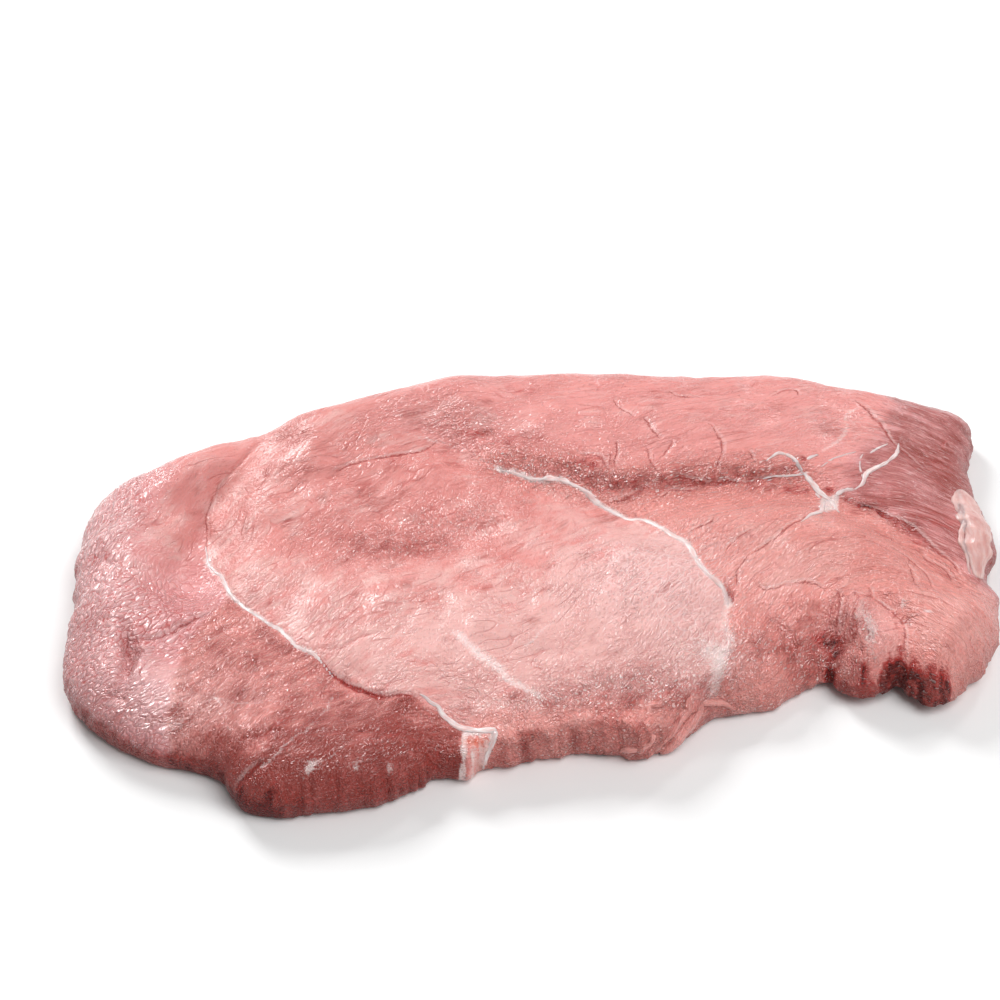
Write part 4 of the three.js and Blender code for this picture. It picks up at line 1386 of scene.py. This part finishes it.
# %% List the fine layers
def fine_layers(meat, here, coarse, fine, grain):
    """Shares and colours of gaps, cut fibre ends, flecks, sinew and creases, from the lowest. The
    pale tops of cut fibre ends and the flecks are partly painted glints, and the creases' lips are
    painted highlights.
    """
    hairs = meat.times(grain["Hairs"], meat.line(here["stretched"], 0.2, 0.34))
    gaps = meat.highest(
        meat.times(coarse["Gap"], meat.line(here["wrinkled"], 0.6, 0.26)),
        meat.times(fine["Gap"], 0.25), meat.times(coarse["Gap"], here["granular"], 0.45))
    gaps = meat.times(
        gaps, here["rough"], here["uneven"], meat.line(here["netted"], -0.8, 1.0))
    cut_ends = meat.times(here["granular"], here["rough"])
    between = meat.times(meat.ramp(fine["Cushion"], 0.45, 0.05), cut_ends, 0.34)
    # Partly painted glints: white on the tops of the fine cushions where the fibres were cut.
    tops = meat.times(
        meat.ramp(fine["Cushion"], 0.75, 1.0), cut_ends,
        meat.ramp(fine["Shade"], 0.2, 0.9, 0.2, 1.0),
        meat.ramp(here["darkened"], 0.7, 0.2, 0.15, 1.0), meat.line(here["clotted_and_shaded"], -0.9, 1.0))
    # Partly painted glints: white flecks along the threads.
    flecks = meat.times(
        meat.ramp(grain["Threads"], 0.60, 0.72), meat.line(here["stretched"], 0.2, 0.14),
        here["rough"])
    return [
        (hairs, GAP_RED), (gaps, GAP_RED), (between, BLOOD), (tops, MEMBRANE_AND_HIGHLIGHT),
        (meat.ramp(meat.plus(here["sinew"], here["waver"]), 0.2, 0.8, 0.0, 0.85), MEMBRANE_AND_HIGHLIGHT),
        (flecks, MEMBRANE_AND_HIGHLIGHT),
        (meat.times(meat.highest(grain["Hairs"], coarse["Gap"]), here["netted"], 0.55), MEMBRANE_AND_HIGHLIGHT),
        (meat.times(here["heart"], 0.9), HEART),
        # Painted highlight along the left lip of each crease.
        (meat.times(here["lip"], here["crease"], 0.25), MEMBRANE_AND_HIGHLIGHT),
        (meat.times(here["core"], 0.75), CREASE_RED),
    ]

# %% Work out the skin's height
def meat_height(meat, here, coarse, fine, grain):
    """Height in millimetres: cushions, the creases' cores, specks, hairs, finer cushions and
    threads, each times how strongly it shows."""
    cushions = meat.plus(
        meat.times(coarse["Cushion"], meat.line(here["wrinkled"], 0.24, 0.12), here["uneven"]),
        meat.times(coarse["Cushion"], here["granular"], 0.2),
        meat.times(fine["Cushion"], here["granular"], 0.22))
    lively = meat.plus(here["warm"], meat.highest(here["granular"], here["netted"]))
    lively = meat.line(meat.times(lively, here["rough"]), 0.10, 0.10)
    finer = meat.times(
        meat.line(here["warm"], 0.16, 0.06), meat.highest(here["patches"], here["warm"]))
    return meat.plus(
        meat.times(cushions, here["rough"]), meat.times(here["core"], -0.12),
        meat.times(meat.ramp(grain["Specks"], 0.56, 0.74), lively),
        meat.times(grain["Hairs"], -0.10), meat.times(fine["Cushion"], finer),
        meat.times(grain["Threads"], meat.line(here["stretched"], 0.22, 0.06)),
        meat.times(grain["Specks"], meat.line(here["rough"], 0.06, 0.02)))

# %% Mix the meat
def meat_material():
    """The layers mixed over the rose ground, and a wet coat over a bumpy skin."""
    material, meat, shader = new_material(
        "raw meat", Subsurface_Weight=0.15, Subsurface_Scale=0.0016,
        Subsurface_Radius=(1.0, 0.34, 0.22), IOR=1.31, Coat_Roughness=0.10, Coat_IOR=1.42)
    coarse, fine = (
        meat.add("Group", {"Length": length, "Width": width}, node_tree=puckered_skin).outputs
        for length, width in ((2.4, 1.05), (0.85, 0.65))
    )
    grain = meat.add("Group", {"Length": 6.0, "Width": 0.9}, node_tree=fibre_grain).outputs
    here = {name: meat.attribute(name) for name in (*paint, "heart")}
    here.update(meat_marks(meat, here, grain))

    shade = ROSE
    layers = broad_layers(meat, here, coarse, grain) + fine_layers(meat, here, coarse, fine, grain)
    for share, layer in layers:
        shade = meat.mix(share, shade, layer)
    meat.feed(shade, shader["Base Color"])
    dullness = meat.ramp(grain["Specks"], 0.3, 0.7, 0.34, 0.48)
    meat.feed(meat.plus(dullness, meat.times(here["wet"], -0.08)), shader["Roughness"])
    wetness = meat.times(meat.line(here["wet"], 0.85, 0.15), meat.line(here["clotted_and_shaded"], -0.8, 1.0))
    meat.feed(wetness, shader["Coat Weight"])
    height = meat_height(meat, here, coarse, fine, grain)
    bump = meat.add("Bump", {"Height": height, "Strength": 1.0, "Distance": MM}).outputs[0]
    meat.feed(bump, shader["Normal"])
    meat.feed(bump, shader["Coat Normal"])
    return material

# %% [markdown]
# Sinew and fat are plainer. Sinew is almost white, with fine lines along it, and lets more light
# in than meat does. Fat is waxy and cream, and pinker between its lumps.

# %% Mix the sinew and the fat
def sinew_material():
    """Pale, slightly see-through sinew with fine lengthwise lines."""
    material, sinew, shader = new_material(
        "sinew", Subsurface_Weight=0.5, Subsurface_Scale=0.0015,
        Subsurface_Radius=(1.0, 0.6, 0.5), IOR=1.42, Coat_Weight=0.3, Coat_Roughness=0.15)
    grain = sinew.add("Group", {"Length": 3.0, "Width": 0.7}, node_tree=fibre_grain).outputs
    shade = sinew.mix(sinew.ramp(grain["Streaks"], 0.3, 0.7), SINEW_PINK, SINEW_WHITE)
    sinew.feed(shade, shader["Base Color"])
    sinew.feed(sinew.ramp(grain["Threads"], 0.3, 0.7, 0.28, 0.42), shader["Roughness"])
    bump = {"Height": grain["Threads"], "Strength": 1.0, "Distance": 0.12 * MM}
    sinew.feed(sinew.add("Bump", bump).outputs[0], shader["Normal"])
    return material


def fat_material():
    """Waxy cream fat, pinker in its hollows."""
    material, fat, shader = new_material(
        "fat", Subsurface_Weight=0.5, Subsurface_Scale=0.002,
        Subsurface_Radius=(1.0, 0.7, 0.55), IOR=1.42, Coat_Weight=0.35, Coat_Roughness=0.18)
    lumps = fat.add("Group", {"Length": 2.2, "Width": 1.6}, node_tree=puckered_skin).outputs
    grain = fat.add("Group", {"Length": 5.0, "Width": 2.0}, node_tree=fibre_grain).outputs
    shade = fat.mix(fat.ramp(grain["Streaks"], 0.3, 0.7), FAT_PINK, FAT_CREAM)
    fat.feed(fat.mix(fat.times(lumps["Gap"], 0.35), shade, FAT_GAP), shader["Base Color"])
    fat.feed(fat.ramp(grain["Specks"], 0.3, 0.7, 0.32, 0.5), shader["Roughness"])
    height = fat.plus(fat.times(lumps["Cushion"], 0.05), fat.times(grain["Specks"], 0.04))
    bump = fat.add("Bump", {"Height": height, "Strength": 1.0, "Distance": MM})
    fat.feed(bump.outputs[0], shader["Normal"])
    return material


FINISHES = {"meat": meat_material(), "sinew": sinew_material(), "fat": fat_material()}
SLOTS = {
    slice_piece: "meat", left_thread: "sinew", right_thread: "sinew", sinew_net: "sinew",
    skin_folds: "meat", seam_loop: "sinew", fat_pad: "fat",
}
for piece, slot in SLOTS.items():
    piece.data.materials.append(FINISHES[slot])
print("materials", [material.name for material in bpy.data.materials])

# %% [markdown]
# ## Say what each piece stands for
#
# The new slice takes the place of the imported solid, which stays in the physics model. The sinew
# stands for the same solid, because it is part of the same slice of meat.

# %% Tell the frame
for piece, slot in SLOTS.items():
    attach(piece, "root")
    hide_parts("escalope")

# %% [markdown]
# ## Floor, light and camera
#
# Wet meat looks dull under flat light, because its gloss comes from reflections. A dim white sky
# and a big softbox overhead give the soft light. Two softboxes behind, a larger one at the left
# and a small one at the right, put glints on every wet bump that leans their way. The camera
# looks down at 40 degrees from half a metre away, as the photographer did.

# %% Lay the floor
FLOOR_HALF = 6.0  # m
floor_material, _, _ = new_material("pale floor", Base_Color=PALE_GREY, Roughness=0.6)
corners = ((-1, -1), (1, -1), (1, 1), (-1, 1))
floor_corners = [(a * FLOOR_HALF, b * FLOOR_HALF, 0) for a, b in corners]
floor_mesh = bpy.data.meshes.new("floor")
floor_mesh.from_pydata(floor_corners, [], [(0, 1, 2, 3)])
floor_mesh.materials.append(floor_material)
floor = bpy.data.objects.new("floor", floor_mesh)
bpy.context.scene.collection.objects.link(floor)

# %% Light it
SKY_STRENGTH = 0.26
world = bpy.data.worlds.new("studio")
world.use_nodes = True
sky = world.node_tree.nodes["Background"].inputs
sky["Color"].default_value, sky["Strength"].default_value = (1, 1, 1, 1), SKY_STRENGTH
bpy.context.scene.world = world
bpy.context.scene.view_settings.view_transform = "Standard"

SOFTBOXES = {  # place in m, watts, size in m
    "softbox behind left": ((-0.50, 0.86, 0.62), 11.0, 0.42),
    "small softbox behind right": ((0.46, 0.86, 0.62), 1.6, 0.16),
    "softbox above": ((0.50, -0.42, 1.05), 11.5, 1.0),
}
for name, (place, watts, size) in SOFTBOXES.items():
    lamp = bpy.data.lights.new(name, "AREA")
    lamp.energy, lamp.size = watts, size
    softbox = bpy.data.objects.new(name, lamp)
    softbox.location = place
    softbox.rotation_euler = (-Vector(place)).to_track_quat("-Z", "Y").to_euler()
    bpy.context.scene.collection.objects.link(softbox)
print(len(SOFTBOXES), "softboxes")

# %% Set up the camera
AIM = Vector((-8.9, 30.8, 0.0)) * MM
DISTANCE, ELEVATION = 0.535, np.radians(40)  # m
LENS, NEAREST = 85.0, 0.01  # mm, and the clip start in m
camera = bpy.data.objects.new("camera", bpy.data.cameras.new("camera"))
camera.data.lens, camera.data.clip_start = LENS, NEAREST
camera.location = AIM + DISTANCE * Vector((0, -np.cos(ELEVATION), np.sin(ELEVATION)))
camera.rotation_euler = (np.pi / 2 - ELEVATION, 0, 0)
bpy.context.scene.collection.objects.link(camera)
bpy.context.scene.camera = camera
print("camera", DISTANCE, "m from the slice")
